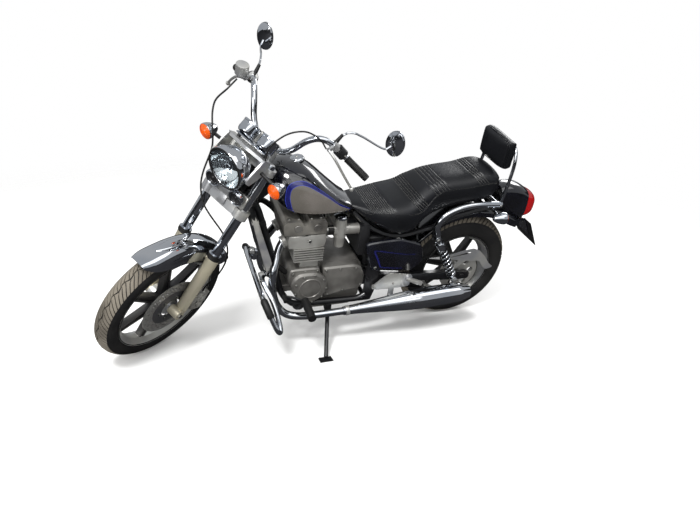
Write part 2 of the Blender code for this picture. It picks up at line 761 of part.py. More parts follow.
def mirror(side, hand):
    """Rubber boot, bent stalk and oval mirror head."""
    route = [(-0.046, 0.235, 1.052), (-0.050, 0.240, 1.082), (-0.062, 0.262, 1.112), (-0.100, 0.296, 1.118),
             (-0.190, 0.372, 1.124), MIRROR_AT]
    stalk = tube(bent(route, 0.014, 1), STALK_R, 1)
    boot = rod((-0.0455, 0.2345, 1.038), Vector(route[1]), 0.0090, 0.0065, sides=10)
    head = turned([(0.0, 0.004), (0.94, 0.004), (1.0, 0.0), (0.96, -0.008), (0.55, -0.017), (0.0, -0.020)],
                  20)
    head = move(head, Matrix.Diagonal((MIRROR_RZ, MIRROR_RX, 1.0, 1.0)))
    head = aimed(head, MIRROR_AT, MIRROR_WAY)
    start, end = Vector((-0.035, 0.228, 1.030)), Vector(BAR_BEND)
    way = (end - start).normalized()
    perch = rod(start + way * 0.0037, start + way * 0.0363, PERCH_R + GAP, sides=12)
    piece = cut(union(head, stalk, boot), perch)
    if side < 0:
        piece = flipped(piece)
    return keep(f"mirror_{hand}", piece, CHROME, STEERING)


def indicator(centre, way, stem_end, radius, length):
    """A bullet lamp on a stem: rounded cup behind, domed lens ahead."""
    profile = [(0.0, 0.014), (0.60 * radius, 0.010), (radius, 0.0), (radius, -0.012),
               (0.84 * radius, -0.50 * length), (0.46 * radius, -0.88 * length), (0.0, -length)]
    lamp = aimed(turned(profile, 14), centre, way)
    middle = Vector(centre) - Vector(way).normalized() * 0.38 * length
    return union(lamp, rod(stem_end, middle, 0.0075, sides=8))


def front_indicator(side, hand):
    stem = (IND_AT[0] + 0.012, EAR_Y, IND_AT[2] + 0.006)
    piece = indicator((IND_AT[0] + 0.024, IND_AT[1], IND_AT[2] - 0.014), AHEAD, stem, IND_R, IND_LEN)
    piece = cut(piece, block((0.0, 0.0, 0.60), (0.30, EAR_Y + EAR_T / 2 + GAP, 0.95)))
    if side < 0:
        piece = flipped(piece)
    return keep(f"front_indicator_{hand}", piece, AMBER, STEERING)


def horns():
    """Two dished horns on one strap across the front of the lower clamp."""
    strap = block((0.0780, -0.085, 0.592), (0.0820, 0.085, 0.640))
    foot = block((0.0740 + GAP, -0.022, 0.553), (0.0820, 0.022, 0.600))
    pieces = [foot]
    for side in (1, -1):
        profile = [(0.0, -0.004), (0.010, -0.004), (0.022, 0.001), (0.80 * HORN_R, -0.002),
                   (0.92 * HORN_R, 0.004),
                   (HORN_R, -0.008), (0.6 * HORN_R, -0.026), (0.0, -0.028)]
        pieces.append(aimed(turned(profile, 12), (0.107, side * 0.068, 0.623), AHEAD))
    keep("horns", union(strap, *pieces), DARK_PLASTIC, STEERING)


def caliper():
    """Brake caliper behind the left leg, slotted for the disc."""
    body = block((-0.104, 0.0375, -0.008), (-0.030, 0.0950, 0.092), 0.008, 1)
    arm = block((-0.040, 0.0720, 0.036), (FORK_OFFSET - 0.046 - GAP, 0.0950, 0.066), 0.003, 1)
    pistons = [rod((-0.068, 0.094, w), (-0.068, 0.103, w), 0.017, sides=10) for w in (0.022, 0.062)]
    piece = union(body, arm, *pistons)
    slot = turned([(DISC_R + RUN_GAP, DISC_T / 2 + RUN_GAP), (DISC_R + RUN_GAP, -DISC_T / 2 - RUN_GAP),
                   (0.10, -DISC_T / 2 - RUN_GAP), (0.10, DISC_T / 2 + RUN_GAP)], 32, ring=True)
    slot = aimed(slot, (AXLE_U, DISC_Y, 0.0), Y_AXIS)
    keep("brake_caliper", cut(piece, slot), ALLOY, STEERING)


def cables():
    """Brake hose from the master cylinder to the caliper, and the clutch cable to the lamp bracket."""
    hose = [HOSE_TOP, (0.030, -0.262, 0.930), (0.085, -0.245, 0.880), (0.118, -0.205, 0.835),
            (0.122, -0.165, 0.785), (0.104, -0.140, 0.720), (0.098, -0.128, 0.630), (0.092, -0.108, 0.560),
            (0.082, -0.060, 0.500), (0.060, 0.0, 0.465), (0.018, 0.060, 0.425), (-0.018, 0.100, 0.365),
            (-0.044, 0.112, 0.290), (-0.066, 0.100, 0.200), (-0.068, 0.080, 0.125), (-0.068, 0.080, 0.088)]
    hose = tube(smooth(hose, 2), HOSE_R, 1)
    under = block((-0.110, 0.030, 0.0), (-0.030, 0.120, 0.092 + GAP))
    keep("brake_hose", cut(hose, under), RUBBER, STEERING)
    cable = [CABLE_TOP, (0.045, 0.212, 1.024), (0.095, 0.172, 1.022), (0.132, 0.136, 0.984),
             (0.146, 0.112, 0.930),
             (0.142, 0.101, 0.880), (0.116, 0.1, EAR_TOP + GAP)]
    keep("clutch_cable", tube(smooth(cable, 3), CABLE_R, 1), RUBBER, STEERING)


def cradle_route(side):
    """One side's down tube and lower rail, from the head to the pivot plate."""
    return bent([(1.135, side * 0.022, 0.835), (1.088, side * 0.046, 0.740), (1.034, side * 0.084, 0.500),
                 (0.998, side * 0.116, 0.325), (0.950, side * LOWER_Y, 0.262), 
                 (0.600, side * LOWER_Y, LOWER_Z), (0.560, side * LOWER_Y, 0.270)], 0.05)


def strut_route(side):
    """One side's strut from the pivot plate to the seat rail."""
    return [Vector((0.536, side * PIVOT_PLATE_Y, 0.446)), Vector((0.466, side * RAIL_Y, 0.596))]


def rail_route(side):
    """One side's seat rail, from the backbone's end to the tail."""
    return bent([(0.650, side * 0.060, 0.716), (0.510, side * RAIL_Y, 0.598), (0.300, side * RAIL_Y, 0.598),
                 (0.170, side * RAIL_Y, 0.664), (0.050, side * RAIL_Y, 0.706), 
                 (-0.130, side * RAIL_Y, 0.720)],
                0.06, 1)


def backbone_route():
    return bent([(1.112, 0.0, 0.900), (0.930, 0.0, 0.812), (0.650, 0.0, 0.722)], 0.06)


def longer(route, extra):
    """A route whose two ends reach a little further."""
    first, last = (route[0] - route[1]).normalized(), (route[-1] - route[-2]).normalized()
    return [route[0] + first * extra] + route[1:-1] + [route[-1] + last * extra]


def frame_tubes(extra=0.0, sides=(1, -1)):
    """The frame's long tubes; with extra they are the cutters that seat other pieces on them."""
    pieces = [tube(longer(backbone_route(), extra), BACKBONE_R + extra)]
    for side in sides:
        pieces.append(tube(longer(cradle_route(side), extra), FRAME_R + extra))
        pieces.append(tube(longer(strut_route(side), extra), FRAME_R + extra, 1))
        pieces.append(tube(longer(rail_route(side), extra), RAIL_R + extra, 1))
    # columns: place along the machine, height, half length, radius
    for across, up, half, radius in FRAME_CROSSES:
        pieces.append(rod((across, -half - extra, up), (across, half + extra, up), radius + extra, sides=6))
    return pieces


def frame():
    head = rod(machine_frame(0.0, 0.0, LOWER_CLAMP_W + CLAMP_T + GAP),
               machine_frame(0.0, 0.0, UPPER_CLAMP_W - GAP), HEAD_R, sides=14)
    gusset = rounded([(1.150, 0.825), (1.105, 0.925), (0.985, 0.845), (1.075, 0.770)], 0.02, 1)
    pieces = [plate(gusset, 0.010)]
    plate_line = rounded([(0.502, 0.490), (0.560, 0.490), (0.573, 0.420), (0.573, 0.300), (0.590, 0.262),
                          (0.622, 0.236), (0.530, 0.236), (0.505, 0.330)], 0.010, 1)
    for side in (1, -1):
        pieces.append(plate(plate_line, PIVOT_PLATE_T, side * PIVOT_PLATE_Y))
        tab = rounded([(0.200, 0.660), (0.238, 0.650), (0.234, 0.566), (0.200, 0.566)], 0.008, 1)
        pieces.append(plate(tab, 0.006, side * (RAIL_Y + 0.015)))
        lug = (SHOCK_TOP[0], side * (RAIL_Y + 0.015), SHOCK_TOP[1])
        pieces.append(rod(lug, (lug[0], side * (SHOCK_Y - 0.020 - GAP), lug[2]), 0.010, sides=8))
        pieces.append(rod((PIVOT_X, side * (PIVOT_PLATE_Y - 0.002), PIVOT_Z),
                          (PIVOT_X, side * 0.142, PIVOT_Z), 0.013,
                          sides=6))
    hinge = Vector(STAND_PIVOT)
    pieces.append(rod(hinge + STAND_AXIS * (STAND_HEAD + GAP), hinge + STAND_AXIS * (STAND_HEAD + 0.012),
                      0.017,
                      sides=12))
    pieces.append(block((hinge.x - 0.014, LOWER_Y - 0.012, hinge.z),
                        (hinge.x + 0.016, hinge.y + 0.010, LOWER_Z)))
    under = rod(hinge - STAND_AXIS * 0.05, hinge + STAND_AXIS * (STAND_HEAD + GAP), 0.045, sides=12)
    keep("frame", cut(union(head, *frame_tubes(), *pieces), under), FRAME_BLACK, STANCE)


def arm_outline(extra=0.0):
    """Side view of one swingarm leg, wide at the pivot and narrow behind."""
    # columns: place along the machine, height
    return rounded([(PIVOT_X + 0.030, PIVOT_Z + 0.027 + extra), (PIVOT_X + 0.030, PIVOT_Z - 0.030),
                    (0.300, 0.316), (-0.040, REAR_TYRE_R - 0.024), (-0.052, REAR_TYRE_R),
                    (-0.040, REAR_TYRE_R + 0.024 + extra), (0.300, 0.362 + extra)], 0.010, 1)


def swingarm():
    pieces = []
    for side in (1, -1):
        pieces.append(plate(arm_outline(), ARM_W, side * ARM_Y))
        pieces.append(rod((0.0, side * (ARM_Y + 0.012), REAR_TYRE_R),
                          (0.0, side * (ARM_Y + 0.024), REAR_TYRE_R),
                          0.014, sides=6))
        pieces.append(rod((SHOCK_LOW[0], side * (ARM_Y + 0.010), SHOCK_LOW[1]),
                          (SHOCK_LOW[0], side * (SHOCK_Y - 0.016 - GAP), SHOCK_LOW[1]), 0.010, sides=8))
    cross = rod((0.485, -ARM_Y, 0.350), (0.485, ARM_Y, 0.350), 0.026, sides=12)
    pivot = rod((PIVOT_X, -PIVOT_PLATE_Y + 0.004 + GAP, PIVOT_Z),
                (PIVOT_X, PIVOT_PLATE_Y - 0.004 - GAP, PIVOT_Z), 0.0235,
                sides=12)
    keep("swingarm", union(cross, pivot, *pieces), FRAME_BLACK, STANCE)


def case_cover(outline, low, high, bevel=0.006):
    """A cast cover of an outline, standing from low to high along Y, with a chamfered rim."""
    piece = plate(outline, high - low, (low + high) / 2.0)
    form = bmesh.new()
    form.from_mesh(piece.data)
    bmesh.ops.dissolve_limit(form, angle_limit=0.01, verts=form.verts, edges=form.edges)
    outer = max(abs(low), abs(high))
    rim = [edge for edge in form.edges if all(abs(abs(vert.co.y) - outer) < 1e-4 for vert in edge.verts)]
    bmesh.ops.bevel(form, geom=rim, offset=bevel, segments=1, affect="EDGES", profile=0.5, material=-1)
    form.to_mesh(piece.data)
    form.free()
    return piece


def wrapped(points):
    """The convex outline of flat points, by Andrew's chain."""
    points = sorted(set((round(x, 6), round(y, 6)) for x, y in points))
    halves = []
    for order in (points, points[::-1]):
        line = []
        for point in order:
            while len(line) > 1 and ((line[-1][0] - line[-2][0]) * (point[1] - line[-2][1])
                                     - (line[-1][1] - line[-2][1]) * (point[0] - line[-2][0])) <= 0:
                line.pop()
            line.append(point)
        halves += line[:-1]
    return halves


def engine():
    outline = rounded([(0.968, 0.478), (0.978, 0.430), (0.958, 0.350), (0.900, 0.245), (0.840, 0.206),
                       (0.630, 0.206), (0.590, 0.262), (0.590, 0.440), (0.612, 0.478)], 0.02, 2)
    cases = plate(outline, 2.0 * CASE_HALF)
    sprocket = rounded([(0.806, 0.477), (0.650, 0.478), (0.612, 0.464), (0.590, 0.415), (0.592, 0.352),
                        (0.612, 0.334), (0.690, 0.326), (0.790, 0.306)], 0.014, 2)
    pieces = [case_cover(sprocket, CASE_HALF - 0.01, 0.158, 0.008)]
    front = rounded([(0.966, 0.476), (0.818, 0.476), (0.812, 0.300), (0.870, 0.286), (0.930, 0.322),
                     (0.972, 0.400)], 0.02, 2)
    pieces.append(case_cover(front, CASE_HALF - 0.01, 0.150, 0.006))
    pieces.append(case_cover(wrapped(circle((0.868, 0.378), 0.086, 22) + circle((0.900, 0.400), 0.064, 18)),
                             0.14, COVER_OUT, 0.010))
    clutch = wrapped(circle((0.735, 0.372), 0.100, 22) + circle((0.880, 0.362), 0.074, 18))
    pieces.append(case_cover(clutch, -0.160, -CASE_HALF + 0.01, 0.010))
    pieces.append(rod((0.735, -0.150, 0.372), (0.735, -0.170, 0.372), 0.070, 0.062, sides=20))
    pieces.append(block((0.945, -0.104, 0.327), (1.015, 0.104, 0.363), 0.003, 1))
    cases = union(cases, *pieces)
    cases = cut(cases, *frame_tubes(GAP))
    keep("engine_cases", cases, ALLOY, STANCE)
    block_low, fins_low = 0.478 + GAP, 0.522
    neck_half = CYL_HALF - 0.012
    pieces = [block((0.828, -neck_half, block_low), (0.914, neck_half, fins_low + 0.01), 0.004, 1)]
    for index in range(FINS):
        low = fins_low + FIN_PITCH * index
        lip = 0.003 * index / FINS
        pieces.append(block((0.812 - lip, -FIN_HALF, low), (0.950 + lip, FIN_HALF, low + FIN_T), 0.0))
    head_low = fins_low + FIN_PITCH * FINS
    pieces.append(block((0.804, -HEAD_HALF, head_low), (0.976, HEAD_HALF, head_low + 0.064), 0.008, 1))
    for side in (1, -1):
        pieces.append(rod(Vector((PORT[0], side * PORT_Y, PORT[1])) - PORT_WAY * 0.016,
                          (PORT[0], side * PORT_Y, PORT[1]), 0.030, 0.027, sides=12))
        pieces.append(rod((0.806, side * PORT_Y, 0.634), (0.786, side * PORT_Y, 0.634), 0.024, sides=12))
    core = block((0.822, -CYL_HALF, fins_low), (0.940, CYL_HALF, head_low + 0.01), 0.0)
    keep("cylinders", union(core, *pieces), ALLOY, STANCE)
    cover_low = head_low + 0.064 + GAP
    saddle = 0.706
    outline = rounded([(0.800, cover_low), (0.998, cover_low), (1.000, 0.716), (0.985, CAM_TOP),
                       (0.918, CAM_TOP), (0.908, saddle), (0.888, saddle), (0.878, CAM_TOP),
                       (0.812, CAM_TOP), (0.800, 0.716)], 0.008, 2)
    cover = plate(outline, 2.0 * HEAD_HALF - 0.008)
    keep("cam_cover", cover, DARK_PLASTIC, STANCE)


def intake():
    """Twin carburettors with round tops, on a link bar, between the head and the air box."""
    bar = block((0.684, -0.090, 0.610), (0.736, 0.090, 0.650), 0.004, 1)
    pieces = []
    for side in (1, -1):
        y = side * PORT_Y
        pieces.append(rod((0.712, y, 0.600), (0.712, y, 0.706), 0.031, 0.029, sides=14))
        pieces.append(rod((0.712, y, 0.548), (0.712, y, 0.602), 0.024, 0.028, sides=12))
        pieces.append(rod((0.786 - GAP, y, 0.634), (0.700, y, 0.634), 0.024, sides=12))
        pieces.append(rod((0.620 + GAP, y, 0.634), (0.700, y, 0.634), 0.026, 0.024, sides=12))
    keep("carburettors", union(bar, *pieces), ALLOY, STANCE)
    box = block((0.410, -0.094, 0.432), (0.583, 0.094, 0.592), 0.012, 1)
    stub = block((0.565, -0.106, 0.500), (0.620, 0.106, 0.660), 0.008, 1)
    box = cut(union(box, stub), *frame_tubes(0.001))
    keep("air_box", box, DARK_PLASTIC, STANCE)


def radiator():
    """Sloping radiator with tanks and slanted end plates, seated on the down tubes."""
    core = block((-0.013, -0.138, -0.100), (0.011, 0.138, 0.118))
    pieces = [block((-0.016, -0.140, 0.116), (0.014, 0.140, 0.142), 0.006, 1),
              block((-0.014, -0.140, -0.124), (0.014, 0.140, -0.098), 0.006, 1)]
    pieces += [block((-0.050, side * 0.062 - 0.012, z - 0.010), (-0.010, side * 0.062 + 0.012, z + 0.010))
               for side in (1, -1) for z in (-0.070, 0.080)]
    piece = move(union(core, *pieces),
                 Matrix.Translation(RADIATOR_AT) @ Matrix.Rotation(RADIATOR_TILT, 4, "Y"))
    # columns: place along the machine, height
    end = rounded([(1.109, 0.743), (1.133, 0.748), (1.077, 0.466), (1.053, 0.520)], 0.006, 2)
    piece = union(piece, *[plate(end, 0.010, side * 0.144) for side in (1, -1)])
    keep("radiator", cut(piece, *frame_tubes(GAP)), DARK_PLASTIC, STANCE)


def tank():
    # columns: place along the machine, half width, underside, top
    table = [(0.670, 0.096, 0.742, 0.776), (0.715, 0.116, 0.739, 0.810), (0.780, 0.136, 0.737, 0.866),
             (0.850, 0.149, 0.738, 0.926), (0.915, 0.150, 0.744, 0.957), (0.965, 0.141, 0.758, 0.962),
             (1.005, 0.114, 0.786, 0.955), (1.030, 0.070, 0.826, 0.936)]
    body = loft(body_rings(table, 2, 18, 0.36, 2.3, 3.6))
    roof = [Vector(point) + Vector((0.0, 0.0, 0.004)) for point in backbone_route()]
    tunnel = tube([roof[0] + (roof[0] - roof[1]).normalized() * 0.05] + roof
                  + [roof[-1] + (roof[-1] - roof[-2]).normalized() * 0.05], BACKBONE_R + 0.0043)
    below = block((0.60, -0.026, 0.60), (1.10, 0.026, 0.76))
    cap = turned([(0.0, 0.010), (0.024, 0.010), (0.030, 0.004), (0.030, -0.012), (0.0, -0.012)], 16)
    cap = aimed(cap, (0.915, 0.0, 0.957), (0.18, 0.0, 1.0))
    slot = block((0.960, -0.0065, 0.700), (1.150, 0.0065, 0.900))
    keep("fuel_tank", cut(union(body, cap), tunnel, below, slot), GLOSS_BLACK, STANCE)


def seat():
    # columns: place along the machine, half width, underside, top
    table = [(0.665, 0.070, 0.738, 0.762), (0.620, 0.104, 0.706, 0.766), (0.550, 0.146, 0.664, 0.768),
             (0.460, 0.172, 0.622, 0.784), (0.385, 0.172, 0.618, 0.800), (0.335, 0.156, 0.650, 0.834),
             (0.270, 0.136, 0.690, 0.866), (0.180, 0.132, 0.722, 0.884), (0.080, 0.134, 0.738, 0.894),
             (0.010, 0.132, 0.746, 0.914), (-0.050, 0.122, 0.760, 0.912), (-0.092, 0.100, 0.786, 0.886)]
    body = loft(body_rings(table, 1, 18, 0.45, 2.9, 3.4))
    keep("seat", cut(body, *frame_tubes(GAP)), LEATHER, STANCE)


def rear_mudguard():
    # columns: degrees round the axle from straight ahead, crown, skirt, half width
    table = [(24, 0.350, 0.334, 0.078), (48, 0.356, 0.336, 0.086), (75, 0.372, 0.338, 0.092),
             (95, 0.386, 0.342, 0.094), (115, 0.404, 0.350, 0.093), (130, 0.424, 0.362, 0.090),
             (139, 0.438, 0.385, 0.083)]
    rows = mudguard_rows(fine(table, 2), (0.0, 0.0, REAR_TYRE_R), 8, 2.7)
    shell = sheet(rows, 0.003, GUARD_SIDE)
    # columns: place along the machine, half width, underside, top
    cowl = loft(body_rings([(-0.165, 0.056, 0.670, 0.790), (-0.215, 0.068, 0.640, 0.800),
                            (-0.280, 0.071, 0.606, 0.792),
                            (-0.335, 0.068, 0.594, 0.764)], 1, 16, 0.5, 3.0, 3.0))
    inside = turned([(0.0, 0.12), (0.385, 0.12), (0.385, -0.12), (0.0, -0.12)], 28)
    inside = aimed(inside, (0.0, 0.0, REAR_TYRE_R), Y_AXIS)
    cowl = cut(cowl, inside)
    saddle = block((-0.130, -0.060, 0.690), (-0.070, 0.060, 0.716), 0.002, 1)
    neck = block((-0.374, -0.045, 0.584), (-0.300, 0.045, 0.5995))
    tongue = move(block((0.0, -0.045, -0.110), (0.004, 0.045, 0.006)), sign_place())
    piece = cut(union(shell, cowl, saddle, neck, tongue), *frame_tubes(GAP))
    keep("rear_mudguard", piece, GLOSS_BLACK, STANCE)


def sign_place():
    """Where the plate's upper edge is, tilted back."""
    return Matrix.Translation(PLATE_AT) @ Matrix.Rotation(PLATE_TILT, 4, "Y")


def tail():
    # columns: place along the machine, half width, underside, top
    table = [(-0.335 - GAP, 0.066, 0.604, 0.760), (-0.370, 0.062, 0.612, 0.748),
             (-0.394, 0.050, 0.628, 0.724),
             (-0.404, 0.028, 0.654, 0.698)]
    keep("tail_lamp", loft(body_rings(table, 1, 16, 0.5, 3.0, 3.0)), RED_LENS, STANCE)
    sign = block((-0.002 - GAP, -PLATE_HALF, -PLATE_H), (-GAP, PLATE_HALF, 0.0))
    keep("licence_plate", move(sign, sign_place()), DARK_PLASTIC, STANCE)


def rear_indicator(side, hand):
    stem = (REAR_IND[0] + 0.010, side * (RAIL_Y + 0.004), 0.717)
    lamp = indicator((REAR_IND[0] - 0.030, side * REAR_IND[1], REAR_IND[2]), (-1.0, 0.0, 0.0), stem, 0.031,
                     0.070)
    return keep(f"rear_indicator_{hand}", cut(lamp, *frame_tubes(GAP, (side,))), CHROME, STANCE)


def grab_rail():
    """Chrome side rails from the dampers, one cross bar and the backrest hoop."""
    pieces = []
    for side in (1, -1):
        rail = bent([(SHOCK_TOP[0] + 0.004, side * GRAB_Y, SHOCK_TOP[1] + EYE_R + GAP),
                     (SHOCK_TOP[0] + 0.004, side * GRAB_Y, SHOCK_TOP[1] + 0.034),
                     (0.239, side * GRAB_Y, 0.655), (0.214, side * GRAB_Y, 0.706),
                     (0.150, side * GRAB_Y, 0.744), (0.050, side * 0.150, 0.760),
                     (-0.104, side * 0.148, 0.752)], 0.05, 1)
        pieces.append(tube(rail, GRAB_R))
    upright = [(-0.096, 0.148, 0.752), (-0.116, 0.140, 0.830), (-0.128, 0.132, 0.960),
               (-0.132, 0.100, 1.030)]
    hoop = bent(upright + [(x, -y, z) for x, y, z in upright[::-1]], 0.05, 1)
    pieces.append(tube(hoop, SISSY_R, 1))
    cross = rod((-0.096, -0.148, 0.747), (-0.096, 0.148, 0.747), 0.009, sides=8)
    feet = [rod((-0.100, side * RAIL_Y, 0.724), (-0.100, side * RAIL_Y, 0.748), 0.008, sides=8)
            for side in (1, -1)]
    keep("grab_rail", cut(union(cross, *pieces, *feet), *frame_tubes(GAP)), CHROME, STANCE)
    pad = block((-0.128, -0.118, 0.922), (-0.068, 0.118, 1.060), 0.024, 2)
    lean = tube(hoop, SISSY_R + GAP, 1)
    keep("backrest_pad", cut(pad, lean), LEATHER, STANCE)


def side_cover(side, hand):
    outline = rounded([(0.600, 0.590), (0.560, 0.430), (0.330, 0.404), (0.270, 0.470), (0.300, 0.560),
                       (0.420, 0.600)], 0.03, 2)
    low, high = sorted((side * 0.138, side * 0.156))
    cover = case_cover(outline, low, high, 0.006)
    boss = [rod((0.520, side * 0.132, 0.500), (0.520, side * 0.140, 0.500), 0.010, sides=10)]
    piece = cut(union(cover, *boss), *frame_tubes(GAP, (side,)))
    return keep(f"side_cover_{hand}", piece, GLOSS_BLACK, STANCE)


def muffler_profile(extra=0.0):
    """Turned muffler along its own Z, from the tail tip back to the pipe."""
    # columns: share of the length from the tip, radius
    table = [(0.00, 0.036), (0.075, 0.050), (0.08, 0.052), (0.30, MUFFLER_R), (0.42, MUFFLER_R - 0.001),
             (0.62, 0.044), (0.84, 0.029), (1.00, PIPE_R + 0.003)]
    length = (Vector(MUFFLER_END) - Vector(MUFFLER_START)).length
    wall = [(0.0, length + extra)] + [(radius + extra, share * length) for share, radius in reversed(table)]
    if extra:
        return wall + [(0.0, -extra)]
    return wall + [(0.030, 0.0), (0.030, 0.060), (0.0, 0.060)]


def muffler_body(side, extra=0.0):
    piece = turned(muffler_profile(extra), 18)
    end, start = Vector(MUFFLER_END), Vector(MUFFLER_START)
    piece = aimed(piece, end, start - end)
    return flipped(piece) if side < 0 else piece


def exhaust(side, hand):
    """Header pipe from the port round the frame, and its long tapered muffler."""
    start = Vector(MUFFLER_START)
    back = (Vector(MUFFLER_END) - start).normalized()
    port = Vector((PORT[0], PORT_Y, PORT[1]))
    route = [tuple(port - PORT_WAY * 0.005), tuple(port + PORT_WAY * 0.020), (1.016, 0.098, 0.530),
             (1.040, 0.136, 0.462), (1.048, 0.150, 0.380), (1.030, 0.156, 0.296), (0.990, 0.168, 0.242),
             (0.930, 0.182, 0.225), (0.840, 0.194, 0.228), tuple(start + back * 0.012)]
    pipe = tube(smooth(route, 2), PIPE_R)
    if side < 0:
        pipe = flipped(pipe)
    piece = union(muffler_body(side), pipe)
    mouth = Vector((PORT[0], side * PORT_Y, PORT[1]))
    face = rod(mouth - PORT_WAY * 0.03, mouth + PORT_WAY * GAP, 0.04)
    piece = cut(piece, face, *frame_tubes(GAP, (side,)))
    return keep(f"exhaust_{hand}", piece, CHROME, STANCE)


def engine_guard():
    """One chrome tube across the front, returning by a loop on each side to the down tubes."""
    left = [(1.112, 0.0, 0.402), (1.110, 0.200, 0.394), (1.098, 0.276, 0.366), (1.058, 0.330, 0.262),
            (1.040, 0.314, 0.250), (1.048, 0.262, 0.318), (1.064, 0.208, 0.378), (1.094, 0.150, 0.424),
            (1.090, 0.106, 0.438), (1.030, 0.088, 0.446)]
    right = [(x, -y, z) for x, y, z in reversed(left)]
    bar = tube(bent(right[:-1] + left[1:], 0.030, 1), CRASH_R, 1)
    sleeves = [rod((1.104, side * 0.232, 0.383), (1.082, side * 0.302, 0.318), SLEEVE_R,
                   sides=8) for side in (1, -1)]
    piece = cut(union(bar, *sleeves), *frame_tubes(GAP))
    keep("engine_guard", piece, CHROME, STANCE)


def foot_peg(side, hand):
    """Forward foot peg on its bracket, with the gear lever on the left or the brake pedal on the right."""
    arm = tube(smooth([(0.938, 0.132, 0.262), (0.934, 0.160, 0.264), (0.922, 0.190, 0.282),
                       (0.903, 0.215, 0.327)], 2),
               0.010)
    peg = rod((0.901, 0.200, 0.3310), (0.898, 0.328, 0.3180), 0.0200, sides=12)
    lever = tube(smooth([(0.906, 0.206, 0.331), (0.960, 0.194, 0.352), (1.002, 0.192, 0.362)], 2), 0.0065)
    pieces = [peg, lever]
    if side > 0:
        pieces.append(rod((1.002, 0.188, 0.362), (1.002, 0.228, 0.358), 0.0095, sides=8))
    else:
        pieces.append(block((0.985, 0.184, 0.358), (1.025, 0.250, 0.372), 0.004, 1))
    piece = union(arm, *pieces)
    if side < 0:
        piece = flipped(piece)
    piece = cut(piece, *frame_tubes(GAP, (side,)))
    return keep(f"foot_peg_{hand}", piece, RUBBER, STANCE)


def footrest_plate(side, hand):
    """Cast hanger plate with the passenger's peg, which also carries the muffler."""
    outline = rounded([(0.448, 0.400), (0.540, 0.330), (0.528, 0.306), (0.330, 0.306), (0.314, 0.378)],
                      0.012, 1)
    hanger = plate(outline, 0.006, 0.1495)
    tab = plate([(0.410, 0.320), (0.440, 0.320), (0.440, 0.240), (0.410, 0.240)], 0.005, 0.1495)
    inner = PIVOT_PLATE_Y + PIVOT_PLATE_T / 2 + GAP
    boss = rod((0.524, inner, 0.322), (0.524, 0.150, 0.322), 0.009, sides=8)
    stay = rod((0.425, 0.149, 0.254), (0.425, 0.175, 0.254), 0.009, sides=8)
    peg = rod((0.340, 0.150, 0.352), (0.310, 0.238, 0.384), 0.0125, sides=10)
    piece = union(hanger, tab, boss, stay, peg)
    if side < 0:
        piece = flipped(piece)
    piece = cut(piece, muffler_body(side, GAP))
    return keep(f"footrest_plate_{hand}", piece, ALLOY, STANCE)


def damper(side, hand):
    """Spring damper: eyes, rod, collars and a coil that bears on both collars."""
    low = Vector((SHOCK_LOW[0], side * SHOCK_Y, SHOCK_LOW[1]))
    high = Vector((SHOCK_TOP[0], side * SHOCK_Y, SHOCK_TOP[1]))
    way = (high - low).normalized()
    length = (high - low).length
    profile = [(0.0, length), (0.011, length), (0.013, length - 0.022), (SPRING_R, length - 0.026),
               (SPRING_R, length - 0.064), (0.0155, length - 0.066), (0.0155, 0.120), (0.010, 0.118),
               (0.010, 0.051), (SPRING_R - 0.001, 0.050), (SPRING_R - 0.002, 0.038), (0.010, 0.032),
               (0.0, 0.0)]
    body = aimed(turned(profile, 10), low, way)
    eyes = [rod((spot.x, side * (SHOCK_Y - wide), spot.z), (spot.x, side * (SHOCK_Y + 0.012), spot.z),
                EYE_R, sides=10)
            for spot, wide in ((low, 0.016), (high, 0.020))]
    coil = []
    turns, steps = COILS, 7
    bottom, top = 0.0453, length - 0.0605
    for index in range(turns * steps + 1):
        angle = 2.0 * math.pi * index / steps
        coil.append((COIL_R * math.cos(angle), COIL_R * math.sin(angle),
                     bottom + (top - bottom) * index / (turns * steps)))
    spring = aimed(tube(coil, WIRE_R, 0), low, way)
    piece = union(body, spring, *eyes)
    return keep(f"damper_{hand}", piece, CHROME, STANCE)


def belt_guard():
    outline = rounded([(0.130, 0.418), (0.092, 0.443), (0.010, 0.462), (-0.050, 0.470), (-0.092, 0.453),
                       (-0.135, 0.412), (-0.172, 0.366), (-0.206, 0.337), (-0.160, 0.326), (-0.134, 0.350),
                       (-0.104, 0.388), (-0.060, 0.392), (-0.020, 0.396), (0.050, 0.343), (0.068, 0.348),
                       (0.026, 0.402), (0.060, 0.412)], 0.008, 1)
    face = plate(outline, 0.004, 0.104)
    slot = plate(rounded([(0.080, 0.424), (0.076, 0.434), (-0.040, 0.452), (-0.040, 0.440)], 0.004, 1),
                 0.02, 0.104)
    face = cut(face, slot, plate(arm_outline(GAP), ARM_W, ARM_Y))
    keep("belt_guard", face, STEEL, STANCE)


